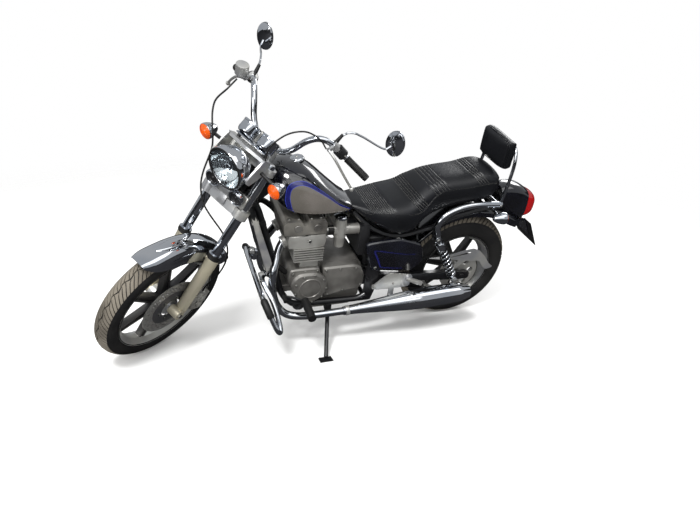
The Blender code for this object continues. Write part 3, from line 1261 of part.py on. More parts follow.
def drive_belt():
    """Toothed belt round the rear pulley, whose two runs end at the gear case."""
    rear, front = Vector((0.0, 0.0, REAR_TYRE_R)), Vector((0.660, 0.0, 0.372))
    inner, outer = PULLEY_R + 0.001, PULLEY_R + 0.0055
    span = front - rear
    slope = math.atan2(span.z, span.x)
    turn = math.acos((inner - BELT_NOSE_R) / span.length)
    arcs = np.linspace(slope + turn, slope + 2.0 * math.pi - turn, 17)
    loops = []
    for back, nose in ((inner, BELT_NOSE_R), (outer, BELT_NOSE_R + 0.0045)):
        line = [(rear.x + back * math.cos(a), rear.z + back * math.sin(a)) for a in arcs]
        tips = [(front.x + nose * math.cos(a), front.z + nose * math.sin(a)) for a in (arcs[0], arcs[-1])]
        trimmed = []
        for tip, foot in zip(tips, (line[0], line[-1])):
            share = (BELT_END_X - foot[0]) / (tip[0] - foot[0])
            trimmed.append((BELT_END_X, foot[1] + (tip[1] - foot[1]) * share))
        loops.append([trimmed[0]] + line + [trimmed[1]])
    outline = loops[0] + loops[1][::-1]
    keep("drive_belt", plate(outline, 0.012, PULLEY_Y), RUBBER, STANCE)


def build_machine():
    wheels()
    both(fork_leg)
    clamps()
    front_mudguard()
    headlight()
    gauges()
    handlebar()
    both(control)
    both(mirror)
    both(front_indicator)
    horns()
    caliper()
    cables()
    frame()
    swingarm()
    engine()
    intake()
    radiator()
    tank()
    seat()
    rear_mudguard()
    tail()
    both(rear_indicator)
    grab_rail()
    both(side_cover)
    both(exhaust)
    engine_guard()
    both(foot_peg)
    both(footrest_plate)
    both(damper)
    belt_guard()
    drive_belt()


def heights(names, matrix):
    """The lowest Z of each named object's corners under a trial stance."""
    lows = []
    STANCE.matrix_local = matrix
    bpy.context.view_layer.update()
    for name in names:
        piece = bpy.data.objects[name]
        corners = np.array([piece.matrix_world @ vert.co for vert in piece.data.vertices])
        lows.append(float(corners[:, 2].min()))
    return lows


def park():
    """Lean the machine and pitch it until both tyres stand on the floor at Z = 0."""
    def stance(pitch, lift=0.0):
        return (Matrix.Translation((0.0, 0.0, lift)) @ Matrix.Rotation(pitch, 4, "Y")
                @ Matrix.Rotation(-LEAN, 4, "X"))
    tyres = ("front_tyre", "rear_tyre")
    before, now = 0.0, 0.002
    error = np.subtract(*heights(tyres, stance(before)))
    for _ in range(8):
        fresh = np.subtract(*heights(tyres, stance(now)))
        if abs(fresh) < 1e-7 or abs(fresh - error) < 1e-12:
            break
        before, now, error = now, now - fresh * (now - before) / (fresh - error), fresh
    low = min(heights(tyres, stance(now)))
    return stance(now, -low)


def side_stand():
    """The stand's pivot head, leg and sole; the sole lies flat on the floor."""
    hinge = Vector(STAND_PIVOT)
    hold = empty("stand_pivot", STANCE, Matrix.Translation(hinge))
    height = (STANCE.matrix_local @ hinge).z
    drop = -(STANCE.matrix_local.to_3x3() @ STAND_WAY).z
    foot = STANCE.matrix_local @ (hinge + STAND_WAY * height / drop)
    leg = rod(hinge, hinge + STAND_WAY * (height - STAND_TOE) / drop, STAND_R, sides=10)
    head = rod(hinge - STAND_AXIS * STAND_HEAD, hinge + STAND_AXIS * STAND_HEAD, 0.017, sides=12)
    pad = block((-0.030, -0.018, 0.0), (0.030, 0.018, 0.008), 0.002, 1)
    pad = move(pad, STANCE.matrix_local.inverted() @ Matrix.Translation((foot.x, foot.y, 0.0)))
    piece = move(union(leg, head, pad), Matrix.Translation(-hinge))
    keep("side_stand", piece, FRAME_BLACK, hold)


def settle():
    """Put the origin on the floor under the middle of the machine's box."""
    bpy.context.view_layer.update()
    corners = np.vstack([[piece.matrix_world @ vert.co for vert in piece.data.vertices]
                         for piece in GROUP.objects if piece.type == "MESH"])
    middle = (corners.min(axis=0) + corners.max(axis=0)) / 2.0
    shift = Matrix.Translation((-middle[0], -middle[1], -corners[:, 2].min()))
    STANCE.matrix_local = shift @ STANCE.matrix_local
    bpy.context.view_layer.update()


build_machine()
STANCE.matrix_local = park()
side_stand()
settle()
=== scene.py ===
# %% [markdown]
# # Dressing a cruiser motorcycle
# The CAD frame already holds every tube, wheel and casting of the machine, leaning on its side
# stand. This lesson gives each of them its finish and adds what an engineer leaves out: tread,
# stitching, glass, bolts, hoses and stripes. Everything is in metres, in the frame's own axes.

# %% Load the frame
import json
import math

import bmesh
import bpy
import numpy as np
from mathutils import Matrix, Vector
from mathutils.bvhtree import BVHTree

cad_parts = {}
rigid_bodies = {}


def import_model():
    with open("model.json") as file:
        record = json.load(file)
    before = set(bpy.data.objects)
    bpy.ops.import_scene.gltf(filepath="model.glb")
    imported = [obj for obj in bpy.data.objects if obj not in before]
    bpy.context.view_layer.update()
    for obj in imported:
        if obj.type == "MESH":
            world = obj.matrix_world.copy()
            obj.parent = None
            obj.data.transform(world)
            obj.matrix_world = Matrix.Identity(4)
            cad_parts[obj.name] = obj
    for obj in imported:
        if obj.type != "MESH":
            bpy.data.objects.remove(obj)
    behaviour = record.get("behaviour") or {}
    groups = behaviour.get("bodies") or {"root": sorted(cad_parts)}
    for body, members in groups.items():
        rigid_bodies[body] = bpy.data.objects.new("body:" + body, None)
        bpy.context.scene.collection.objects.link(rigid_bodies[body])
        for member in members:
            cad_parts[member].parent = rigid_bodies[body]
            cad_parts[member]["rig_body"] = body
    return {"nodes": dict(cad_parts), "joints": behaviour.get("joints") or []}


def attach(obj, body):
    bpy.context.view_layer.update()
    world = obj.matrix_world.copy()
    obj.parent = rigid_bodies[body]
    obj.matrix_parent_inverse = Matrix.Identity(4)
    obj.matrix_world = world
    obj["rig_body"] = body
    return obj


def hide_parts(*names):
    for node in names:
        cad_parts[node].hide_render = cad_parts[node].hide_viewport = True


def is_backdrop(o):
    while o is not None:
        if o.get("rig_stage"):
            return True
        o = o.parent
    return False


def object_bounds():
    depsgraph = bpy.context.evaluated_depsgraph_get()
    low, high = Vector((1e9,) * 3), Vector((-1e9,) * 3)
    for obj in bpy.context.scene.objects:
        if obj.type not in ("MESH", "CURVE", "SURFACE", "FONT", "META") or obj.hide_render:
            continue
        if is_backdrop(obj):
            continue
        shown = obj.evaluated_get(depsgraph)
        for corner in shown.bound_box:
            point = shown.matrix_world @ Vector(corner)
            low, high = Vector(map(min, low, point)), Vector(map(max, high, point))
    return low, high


for old in list(bpy.data.objects):
    bpy.data.objects.remove(old)
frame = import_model()
cad_low, cad_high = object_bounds()
print("CAD box", [round(side, 3) for side in cad_high - cad_low])

# %% [markdown]
# ## Three local frames
# A leaning machine with its handlebar turned is awkward to build on. The joints say where its own
# axes are, so three matrices are worked out once: MACHINE stands upright with the rear axle above
# its origin, FORK has its Z along the steering axis, and a wheel's frame has its Z along the axle.

# %% Local frames
RAKE = math.radians(30.8)
REAR_R = 0.316
joints = {joint["name"]: joint for joint in frame["joints"]}


def axes_at(origin, forward, left, up):
    """The matrix that carries local X, Y and Z onto three directions at a point."""
    return Matrix.Translation(origin) @ Matrix((forward, left, up)).transposed().to_4x4()


def joint_place(name):
    return Vector(joints[name]["pos_m"]), Vector(joints[name]["axis"]).normalized()


head, steer_up = joint_place("steering_turn")
front_hub, front_left = joint_place("front_wheel_spin")
rear_hub, machine_left = joint_place("rear_wheel_spin")
across = machine_left.cross(steer_up)
machine_ahead = (math.cos(RAKE) * across - math.sin(RAKE) * steer_up).normalized()
machine_up = machine_ahead.cross(machine_left)
MACHINE = axes_at(rear_hub - REAR_R * machine_up, machine_ahead, machine_left, machine_up)
FORK = axes_at(head, front_left.cross(steer_up), front_left, steer_up)
FRONT_WHEEL = axes_at(front_hub, steer_up, front_left.cross(steer_up), front_left)
REAR_WHEEL = axes_at(rear_hub, machine_up, machine_ahead, machine_left)
print("lean in degrees", round(math.degrees(math.acos(machine_up.z)), 1))

# %% [markdown]
# ## Colours and the node helper
# A painter names a colour by its hex code, which is how the eye sees it. The renderer wants linear
# light, so one function converts. A second one adds a shader node, sets it and wires it up. The
# third makes a whole finish: fine grain in its gloss and relief, and patches of a second tint a
# hand's width across, because nothing that has been used is one even colour.

# %% Colour and node helpers
SMOOTHEST = 0.02
PATCHES_PER_METRE = 6.0
PATCH_EDGES = (0.42, 0.62)


def paint(code):
    """Linear RGBA of an sRGB hex code."""
    levels = [int(code[index:index + 2], 16) / 255.0 for index in (1, 3, 5)]
    linear = [level / 12.92 if level <= 0.04045 else ((level + 0.055) / 1.055) ** 2.4 for level in levels]
    return (*linear, 1.0)


def add(tree, kind, settings=None, links=None):
    """Add a shader node, set its properties and sockets, and link its inputs."""
    node = tree.nodes.new("ShaderNode" + kind)
    for name, value in (settings or {}).items():
        if isinstance(name, str) and hasattr(node, name):
            setattr(node, name, value)
        else:
            node.inputs[name].default_value = value
    for name, source in (links or {}).items():
        tree.links.new(source, node.inputs[name])
    return node


def finish(name, colour, roughness, metallic=0.0, grain=None, spread=0.05, bump=0.0, tint=None, **sockets):
    """A Principled finish whose grain, in metres, breaks up its gloss, relief and colour."""
    made = bpy.data.materials.new(name)
    made.use_nodes = True
    tree = made.node_tree
    shader = tree.nodes["Principled BSDF"]
    shader.inputs["Base Color"].default_value = paint(colour)
    shader.inputs["Roughness"].default_value = roughness
    shader.inputs["Metallic"].default_value = metallic
    for socket, value in sockets.items():
        shader.inputs[socket.replace("_", " ")].default_value = value
    if grain:
        place = add(tree, "TexCoord")
        noise = add(tree, "TexNoise", {"Scale": 1.0 / grain, "Detail": 4.0},
                    {"Vector": place.outputs["Object"]})
        gloss = add(tree, "MapRange",
                    {"To Min": max(SMOOTHEST, roughness - spread), "To Max": roughness + spread},
                    {"Value": noise.outputs["Fac"]})
        tree.links.new(gloss.outputs["Result"], shader.inputs["Roughness"])
        if bump:
            relief = add(tree, "Bump", {"Strength": bump, "Distance": grain / 4.0},
                         {"Height": noise.outputs["Fac"]})
            tree.links.new(relief.outputs["Normal"], shader.inputs["Normal"])
        if tint:
            wide = add(tree, "TexNoise", {"Scale": PATCHES_PER_METRE, "Detail": 3.0},
                       {"Vector": place.outputs["Object"]})
            ramp = add(tree, "MapRange", {"From Min": PATCH_EDGES[0], "From Max": PATCH_EDGES[1]},
                       {"Value": wide.outputs["Fac"]})
            mix = add(tree, "Mix", {"data_type": "RGBA", 6: paint(colour), 7: paint(tint)},
                      {0: ramp.outputs["Result"]})
            tree.links.new(mix.outputs[2], shader.inputs["Base Color"])
    return made


# %% [markdown]
# ## The finishes
# Each finish starts from what the real thing is and how its surface was made: plated, ground,
# sand cast, moulded, sprayed or sewn. A grain is the width of its texture in metres. Casting
# skin and moulded texture are finer than a pixel here, so they are drawn as coarse as they need
# to show. The table at the end groups the finishes by the slots of the record.

# %% Metal finishes
# nickel and chromium over polished steel: black and white bands under a faint haze
CHROME = finish("chrome_plate", "#D3D5D8", 0.07, 1.0, grain=0.012, spread=0.03, tint="#C4C8CE")
# machined aluminium, wiped with a fine pad: pale, with soft wide highlights
BRIGHT = finish("satin_aluminium", "#CDCCC6", 0.32, 0.80, grain=0.003, spread=0.07, tint="#B2B3B5")
# bare aluminium fork lowers, gone slightly yellow and hazy with age
RAW = finish("raw_aluminium_lowers", "#B5AE98", 0.36, 0.60, grain=0.0015, spread=0.08, bump=0.05,
             tint="#A9A391")
# sand cast aluminium: a pebbled skin that scatters its highlights
CAST = finish("sand_cast_aluminium", "#B4B3AE", 0.40, 0.70, grain=0.0012, spread=0.10, bump=0.25,
              tint="#8B8984")
# silver enamel baked on the cases, darker than on the head as painted shade of the low cases, with random
# darker patches of oil and dust
CASE = finish("silver_enamelled_case", "#777571", 0.38, 0.60, grain=0.0016, spread=0.10, bump=0.15,
              tint="#504E4B")
# the same enamel on the hotter head, dulled a little more
DARK_CAST = finish("silver_enamelled_head", "#8A8780", 0.40, 0.60, grain=0.0014, spread=0.08, bump=0.2,
                   tint="#4E4C49")
# graphite enamel over cast spokes: a dark sheen that shows their edges
SPOKE = finish("graphite_wheel_enamel", "#454443", 0.36, 0.45, grain=0.0018, spread=0.08, bump=0.1,
               tint="#3B3B3D")
# the disc's ground steel: pale grey, with a dull shine from the pads
STEEL = finish("ground_brake_steel", "#8C8B88", 0.34, 0.70, grain=0.0008, spread=0.08, tint="#858381")
# zinc plate on screws and nuts: small cool glints among the castings
ZINC = finish("zinc_plated_bolt", "#A9A9A4", 0.30, 1.0, grain=0.002, spread=0.08)

# %% [markdown]
# ## Paint, rubber, vinyl and lenses
# These are no metals, so they shine by their surface alone. Enamel and tank paint have a clear
# coat, which is a second, sharper gloss over the first. Rubber and vinyl have less of it and a
# coarse grain, and the lenses let a part of the light through.

# %% Painted, moulded and sewn finishes
# powder coat on the frame: black with a soft, slightly uneven gloss
POWDER = finish("black_powder_coat", "#101012", 0.34, 0.0, grain=0.0016, spread=0.06, bump=0.08,
                Coat_Weight=0.35, Coat_Roughness=0.15)
# black enamel under clear lacquer: deep, with sharp reflections on top
ENAMEL = finish("black_tank_enamel", "#07070B", 0.16, 0.0, grain=0.02, spread=0.03, tint="#0D0E16",
                Coat_Weight=1.0, Coat_Roughness=0.03)
# taupe enamel with a little metal flake under the same lacquer
TAUPE = finish("taupe_tank_panel", "#5A5650", 0.26, 0.25, grain=0.0010, spread=0.05, tint="#68635E",
               Coat_Weight=1.0, Coat_Roughness=0.04)
# deep blue enamel of the tank's band and the side covers' stripes
BLUE = finish("blue_pinstripe_enamel", "#0A0E4C", 0.22, 0.0, grain=0.004, spread=0.04, Coat_Weight=0.8,
              Coat_Roughness=0.05)
# moulded plastic with a fine texture: dull black that never goes quite dark
PLASTIC = finish("black_moulded_plastic", "#121213", 0.46, 0.0, grain=0.0012, spread=0.08, bump=0.15,
                 tint="#1A1A1C")
# extruded rubber: the dullest black, browned by dust
RUBBER = finish("black_hose_rubber", "#0D0D0D", 0.55, 0.0, grain=0.002, spread=0.10, bump=0.10,
                tint="#141312", Specular_IOR_Level=0.35)
# seat vinyl embossed like leather: black with broad grey sheens
VINYL = finish("grained_seat_vinyl", "#0A0B0E", 0.40, 0.0, grain=0.0022, spread=0.07, bump=0.30,
               tint="#0E0F13", Specular_IOR_Level=0.35)
# grey enamel on the radiator's end tanks
PLATE_GREY = finish("grey_radiator_enamel", "#97968F", 0.40, 0.3, grain=0.002, spread=0.08, tint="#66666A")
# amber acrylic, moulded in rings: bright orange with a glossy face
AMBER = finish("amber_lens", "#E2590B", 0.14, 0.0, grain=0.004, spread=0.04, bump=0.1, Coat_Weight=0.6,
               Transmission_Weight=0.25)
# red acrylic of the tail lamp and the gauges' needles
RED = finish("red_lens", "#A30D10", 0.14, 0.0, grain=0.004, spread=0.04, bump=0.1, Coat_Weight=0.6,
             Transmission_Weight=0.25)
# pressed lamp glass: clear, with flutes that bend what lies behind
GLASS = finish("lamp_glass", "#F4F8FA", 0.02, 0.0, grain=0.01, spread=0.02, Transmission_Weight=1.0, IOR=1.5)
# silvered glass: the cleanest reflection on the machine
MIRROR = finish("silvered_mirror", "#E9EDEF", 0.03, 1.0, grain=0.05, spread=0.01)
# matt black paint of the dials, so that their marks can be read
DIAL = finish("black_dial", "#0C0C0D", 0.55, 0.0, grain=0.003, spread=0.05)
# screen printed white of the dials' marks
WHITE = finish("white_dial_print", "#E8E8E4", 0.50, 0.0, grain=0.003, spread=0.05)
# grey polyester thread: dull and paler than the vinyl round it
THREAD = finish("grey_stitching_thread", "#74736F", 0.65, 0.0, grain=0.0008, spread=0.10, bump=0.3)
# tyre side wall: black rubber with a brown bloom and no shine
TYRE = finish("road_tyre_rubber", "#121213", 0.62, 0.0, grain=0.0030, spread=0.12, bump=0.18, tint="#1B1A19",
              Specular_IOR_Level=0.3)

# %% [markdown]
# ## Slots
# The record names a few colours that another maker may swap. Each finish belongs to one of them.

# %% Slots of the record
# the record's slots, each with the finishes that belong to it
SLOTS = {"chrome": (CHROME, MIRROR, GLASS),
         "cast_alloy": (BRIGHT, CAST, CASE, DARK_CAST, SPOKE, PLATE_GREY),
         "fork_alloy": (RAW,), "steel": (STEEL, ZINC), "frame_black": (POWDER,),
         "gloss_black": (ENAMEL, TAUPE, BLUE), "dark_plastic": (PLASTIC, DIAL, WHITE),
         "tyre": (TYRE,), "rubber": (RUBBER,), "seat_vinyl": (VINYL, THREAD),
         "amber": (AMBER,), "red_lens": (RED,)}
SLOT_OF = {made.name: slot for slot, finishes in SLOTS.items() for made in finishes}
print("finishes", len(bpy.data.materials))

# %% [markdown]
# ## Smoothing a faceted casting
# The CAD pieces are faceted: a tube has twelve or sixteen flat sides. A Subdivision Surface rounds
# them, but it also shrinks them, since its surface runs inside the corners of its cage. So the
# cage is pushed out a few times until the smooth surface passes through the corners that the CAD
# gives. Edges that turn by more than the crease angle stay sharp, which keeps machined rims crisp.

# %% Smooth cages
CREASE_LAYER = "crease_edge"
PUSHES = 3
PUSH_LIMIT = 0.004


def smooth_cage(node, crease, levels):
    """A CAD node's smooth mesh, whose surface passes through the node's own corners."""
    form = bmesh.new()
    form.from_mesh(frame["nodes"][node].data)
    bmesh.ops.remove_doubles(form, verts=form.verts, dist=0.00002)
    bmesh.ops.join_triangles(form, faces=form.faces, angle_face_threshold=math.radians(35.0),
                             angle_shape_threshold=math.radians(70.0))
    sharp = form.edges.layers.float.new(CREASE_LAYER)
    for edge in form.edges:
        if not edge.is_manifold or edge.calc_face_angle() > math.radians(crease):
            edge[sharp] = 1.0
    mesh = bpy.data.meshes.new(node)
    form.to_mesh(mesh)
    form.free()
    for layer in [item.name for item in mesh.attributes if item.name == "custom_normal"]:
        mesh.attributes.remove(mesh.attributes[layer])
    cage = bpy.data.objects.new(node + "_cage", mesh)
    bpy.context.scene.collection.objects.link(cage)
    smoother = cage.modifiers.new("smooth", "SUBSURF")
    smoother.levels = smoother.render_levels = levels
    count = len(mesh.vertices)
    target = np.array([vertex.co for vertex in mesh.vertices])
    place = target.copy()
    for _ in range(PUSHES):
        shown = cage.evaluated_get(bpy.context.evaluated_depsgraph_get()).data
        now = np.array([shown.vertices[index].co for index in range(count)])
        place += np.clip(target - now, -PUSH_LIMIT, PUSH_LIMIT)
        mesh.vertices.foreach_set("co", place.ravel())
        mesh.update()
        cage.update_tag()
        bpy.context.view_layer.update()
    smooth = bpy.data.meshes.new_from_object(cage.evaluated_get(bpy.context.evaluated_depsgraph_get()))
    bpy.data.objects.remove(cage)
    bpy.data.meshes.remove(mesh)
    smooth.materials.clear()
    return smooth

# %% [markdown]
# ## From a mesh to a piece
# A finished mesh becomes an object that rides on one body of the machine, so that it turns with
# the fork, a wheel or the stand. Where one casting shows two finishes, as a fork leg does, its
# faces get their material by where they lie in a local frame.

# %% Finished pieces
SHARP_ANGLE = 38.0


def settled(name, mesh, body, replaces=(), angle=SHARP_ANGLE):
    """Link a finished mesh as a piece that rides on a body."""
    made = bpy.data.objects.new(name, mesh)
    bpy.context.scene.collection.objects.link(made)
    mesh.shade_smooth()
    mesh.set_sharp_from_angle(angle=math.radians(angle))
    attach(made, body)
    if replaces:
        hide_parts(*replaces)
    return made


def coloured(mesh, place, regions):
    """Give faces a region's material where its test of their centres, in a local frame, is true."""
    back = place.inverted()
    centres = np.empty(len(mesh.polygons) * 3)
    mesh.polygons.foreach_get("center", centres)
    local = centres.reshape(-1, 3) @ np.array(back.to_3x3()).T + np.array(back.translation)
    index = np.zeros(len(local), int)
    for test, material in regions:
        mesh.materials.append(material)
        index[test(*local.T)] = len(mesh.materials) - 1
    mesh.polygons.foreach_set("material_index", index)


def body_of(node):
    return frame["nodes"][node]["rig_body"]


def refined(node, material, crease=50.0, levels=2, place=MACHINE, regions=()):
    """Show a CAD node by a smooth piece of the same shape, in one finish or several."""
    mesh = smooth_cage(node, crease, levels)
    mesh.materials.append(material)
    if regions:
        coloured(mesh, place, regions)
    return settled(node + "_skin", mesh, body_of(node), (node,))


# %% [markdown]
# ## A small workshop of shapes
# New pieces come from three tools that an engineer also has: a lathe, a tube bender and a milled
# block. Each returns one closed shape, and `gathered` joins several, each with its own finish,
# into one piece that rides on a body and may stand for a CAD node. Building them by operators
# and not by hand means that a size can change and the shape still closes.

# %% Lathe
AHEAD = (math.cos(RAKE), 0.0, -math.sin(RAKE))
UP = (0.0, 0.0, 1.0)


def turn_to(at, way):
    """The matrix that carries local Z onto a direction at a point."""
    return Matrix.Translation(at) @ Vector(way).to_track_quat("Z", "Y").to_matrix().to_4x4()


def lathe(profile, at=(0.0, 0.0, 0.0), way=(0.0, 0.0, 1.0), steps=48):
    """A shape spun from (radius, height) points and set along a direction."""
    form = bmesh.new()
    line = [form.verts.new((radius, 0.0, height)) for radius, height in profile]
    edges = [form.edges.new(pair) for pair in zip(line, line[1:])]
    bmesh.ops.spin(form, geom=line + edges, cent=(0.0, 0.0, 0.0), axis=(0.0, 0.0, 1.0), angle=math.tau,
                   steps=steps, use_merge=True)
    bmesh.ops.remove_doubles(form, verts=form.verts, dist=0.000001)
    bmesh.ops.recalc_face_normals(form, faces=form.faces)
    bmesh.ops.transform(form, matrix=turn_to(at, way), verts=form.verts)
    return form

# %% [markdown]
# ## The tube bender
# Tubes, hoses and wires are a ring of points carried along a route. Rigid tube has straight
# lengths and round corners, and a hose or cable lies in one smooth curve, so there are two kinds
# of route. At each step the ring is turned by no more than the route turns, which keeps the tube
# from twisting.

# %% Tube bender
def bent(points, cut=0.03, steps=6):
    """A route whose corners are rounded as in a tube bender."""
    points = [Vector(point) for point in points]
    route = [points[0]]
    for before, corner, after in zip(points, points[1:], points[2:]):
        back, on = before - corner, after - corner
        start = corner + back.normalized() * min(cut, back.length / 2.0)
        end = corner + on.normalized() * min(cut, on.length / 2.0)
        for index in range(steps + 1):
            share = index / steps
            route.append(start * (1 - share) ** 2 + corner * 2 * share * (1 - share) + end * share ** 2)
    return route + [points[-1]]


def passing(a, b, c, d, share):
    """A point at a share of the way from b to c, on the curve that also heeds a and d."""
    return 0.5 * (2 * b + (c - a) * share + (2 * a - 5 * b + 4 * c - d) * share ** 2
                  + (3 * b - a - 3 * c + d) * share ** 3)


def curved(points, steps=8):
    """A smooth route through points, as a hose or a cable lies."""
    points = [Vector(point) for point in points]
    ends = [points[0] * 2 - points[1]] + points + [points[-1] * 2 - points[-2]]
    route = []
    for a, b, c, d in zip(ends, ends[1:], ends[2:], ends[3:]):
        route += [passing(a, b, c, d, index / steps) for index in range(steps)]
    return route + [points[-1]]


def rounded(profile, steps):
    """A (radius, height) profile made smooth through its points."""
    return [(spot.x, spot.z) for spot in curved([(radius, 0.0, high) for radius, high in profile], steps)]


def tube(route, radius, sides=16):
    """A round bar along a route. The radius may be one number or one for each point."""
    route = [Vector(point) for point in route]
    route = route[:1] + [b for a, b in zip(route, route[1:]) if (b - a).length > 0.00005]
    radii = radius if isinstance(radius, list) else [radius] * len(route)
    ways = [route[1] - route[0]] + [c - a for a, c in zip(route, route[2:])] + [route[-1] - route[-2]]
    turn = ways[0].to_track_quat("Z", "Y")
    places = []
    for index, point in enumerate(route):
        if index:
            turn = ways[index - 1].rotation_difference(ways[index]) @ turn
        places.append(Matrix.Translation(point) @ turn.to_matrix().to_4x4() @ Matrix.Scale(radii[index], 4))
    form = bmesh.new()
    ring = bmesh.ops.create_circle(form, cap_ends=False, radius=1.0, segments=sides)["verts"]
    bmesh.ops.transform(form, matrix=places[0], verts=ring)
    edges = form.edges[:]
    for before, after in zip(places, places[1:]):
        made = bmesh.ops.extrude_edge_only(form, edges=edges)["geom"]
        fresh = {item for item in made if isinstance(item, bmesh.types.BMVert)}
        edges = [item for item in made if isinstance(item, bmesh.types.BMEdge) and set(item.verts) <= fresh]
        bmesh.ops.transform(form, matrix=after @ before.inverted(), verts=list(fresh))
    rims = [edge for edge in form.edges if edge.is_boundary]
    bmesh.ops.holes_fill(form, edges=rims, sides=0)
    bmesh.ops.recalc_face_normals(form, faces=form.faces)
    return form

# %% [markdown]
# ## Blocks and screw heads
# A milled block is a cube with bevelled edges. Screw and bolt heads are lathe shapes: a hexagon is
# simply a spin in six steps. Each has only a few dozen faces, because there are many of them.

# %% Blocks and screw heads
def block(low, high, bevel=0.002, segments=2):
    """A milled block between two corners, with rounded edges."""
    low, high = Vector(low), Vector(high)
    form = bmesh.new()
    bmesh.ops.create_cube(form, size=1.0)
    bmesh.ops.scale(form, vec=high - low, verts=form.verts)
    bmesh.ops.translate(form, vec=(low + high) / 2.0, verts=form.verts)
    bmesh.ops.bevel(form, geom=form.edges[:], offset=bevel, segments=segments, affect="EDGES", profile=0.5,
                    material=-1)
    return form


def screw_head(at, way, radius=0.005):
    """A socket cap screw with its hole."""
    high = radius * 1.1
    return lathe([(0.0, 0.4 * high), (0.5 * radius, 0.4 * high), (0.5 * radius, high), (0.85 * radius, high),
                  (radius, 0.85 * high), (radius, 0.0)], at, way, 16)


def hex_head(at, way, radius=0.007):
    """A hexagon bolt head."""
    return lathe([(0.0, 0.7 * radius), (0.8 * radius, 0.7 * radius), (radius, 0.5 * radius),
                  (radius, 0.0)], at, way, 6)

# %% [markdown]
# ## Joining and mirroring
# Shapes that are bolted or glued together in real life become one piece. Most of the machine is
# the same on both sides, so places are given for the left side and mirrored by a sign.

# %% Joining and mirroring
def gathered(name, shapes, place, body, replaces=(), angle=SHARP_ANGLE):
    """Join shapes, each with its finish, into one piece."""
    form = bmesh.new()
    mesh = bpy.data.meshes.new(name)
    for shape, material in shapes:
        if material.name not in mesh.materials:
            mesh.materials.append(material)
        number = mesh.materials.find(material.name)
        for face in shape.faces:
            face.material_index = number
        part = bpy.data.meshes.new("part")
        shape.to_mesh(part)
        shape.free()
        form.from_mesh(part)
        bpy.data.meshes.remove(part)
    bmesh.ops.transform(form, matrix=place, verts=form.verts)
    form.to_mesh(mesh)
    form.free()
    return settled(name, mesh, body, replaces, angle)


def woven(form, rows, wrap=True):
    """Faces between neighbouring rows of vertices, closed into rings or left open."""
    for inner, outer in zip(rows, rows[1:]):
        count = len(inner)
        for index in range(count if wrap else count - 1):
            after = (index + 1) % count
            form.faces.new((inner[index], inner[after], outer[after], outer[index]))


def faced(form, way):
    """Make the faces of an open sheet agree, and look along a direction."""
    bmesh.ops.recalc_face_normals(form, faces=form.faces)
    if form.faces[:][0].normal.dot(way) < 0.0:
        bmesh.ops.reverse_faces(form, faces=form.faces)


def sided(point, side):
    """A point of the left side, or its mirror image on the right where the sign is negative."""
    return Vector((point[0], side * point[1], point[2]))


def flip(points, side):
    """A whole route on one side."""
    return [sided(point, side) for point in points]


# %% [markdown]
# ## Castings, tubes and panels
# Most of the machine needs only its true finish on its smooth shape. A table lists them: the
# node, its finish and the angle above which an edge stays sharp.

# %% Refined pieces of one finish
LEFT_RIGHT = {"left": 1, "right": -1}
# columns: node, finish, crease angle, levels
SKINS = [("belt_pulley", CAST, 46, 2), ("front_mudguard", CHROME, 60, 2), ("brake_caliper", CAST, 40, 2),
         ("lower_clamp", BRIGHT, 40, 2), ("upper_clamp", BRIGHT, 40, 2), ("frame", POWDER, 50, 1),
         ("swingarm", POWDER, 50, 1), ("engine_cases", CASE, 40, 1), ("cylinders", CAST, 40, 1),
         ("cam_cover", DARK_CAST, 40, 2), ("carburettors", CAST, 46, 1), ("air_box", PLASTIC, 40, 1),
         ("belt_guard", BRIGHT, 40, 1), ("rear_mudguard", ENAMEL, 50, 2), ("licence_plate", PLASTIC, 40, 1),
         ("side_stand", POWDER, 50, 1), ("tail_lamp", RED, 60, 2), ("drive_belt", RUBBER, 40, 1),
         ("brake_hose", RUBBER, 60, 2), ("clutch_cable", RUBBER, 60, 2), ("fuel_tank", ENAMEL, 60, 2),
         ("side_cover_left", ENAMEL, 40, 2), ("side_cover_right", ENAMEL, 40, 2),
         ("footrest_plate_left", BRIGHT, 40, 1), ("footrest_plate_right", BRIGHT, 40, 1)]
SKIN = {node: refined(node, material, crease, levels) for node, material, crease, levels in SKINS}
print("skins", len(SKIN))

# %% [markdown]
# ## Pieces of more than one finish
# A fork leg is one solid in the CAD, but a chromed tube, a rubber seal and a raw casting to the
# eye. Each region is a test of where a face lies in the piece's own frame. The wheels are
# dark enamel with a machined rim and hub, and the radiator is black between grey end plates.

# %% Refined pieces of several finishes
LEG_TOP = 0.319
SEAL_TOP = 0.341
HUB_R = 0.052
FRONT_RIM_IN = 0.219
REAR_RIM_IN = 0.170
CORE_HALF = 0.1270


def beyond(radius):
    return lambda x, y, z: np.hypot(x, y) > radius


def within(radius):
    return lambda x, y, z: np.hypot(x, y) < radius


for hand, side in LEFT_RIGHT.items():
    refined(f"fork_{hand}", RAW, 50, 2, FORK,
            [(lambda u, y, w: w > LEG_TOP - 0.001, RUBBER), (lambda u, y, w: w > SEAL_TOP - 0.0005, CHROME)])
    refined(f"control_{hand}", BRIGHT, 50, 2, FORK,
            [(lambda u, y, w: (u < -0.052) & (w > 0.975) & (np.abs(y) < 0.288), PLASTIC)])
    refined(f"mirror_{hand}", CHROME, 50, 2, FORK,
            [(lambda u, y, w: (w < 1.082) & (np.abs(y) < 0.262), RUBBER)])
    refined(f"foot_peg_{hand}", POWDER, 50, 2, MACHINE,
            [(lambda x, y, z: (np.abs(y) > 0.206) & (x < 0.93), RUBBER),
             (lambda x, y, z: (np.abs(y) > 0.184) & (x > 0.985), RUBBER)])
refined("front_wheel_casting", SPOKE, 40, 2, FRONT_WHEEL,
        [(beyond(FRONT_RIM_IN), BRIGHT), (within(HUB_R), BRIGHT)])
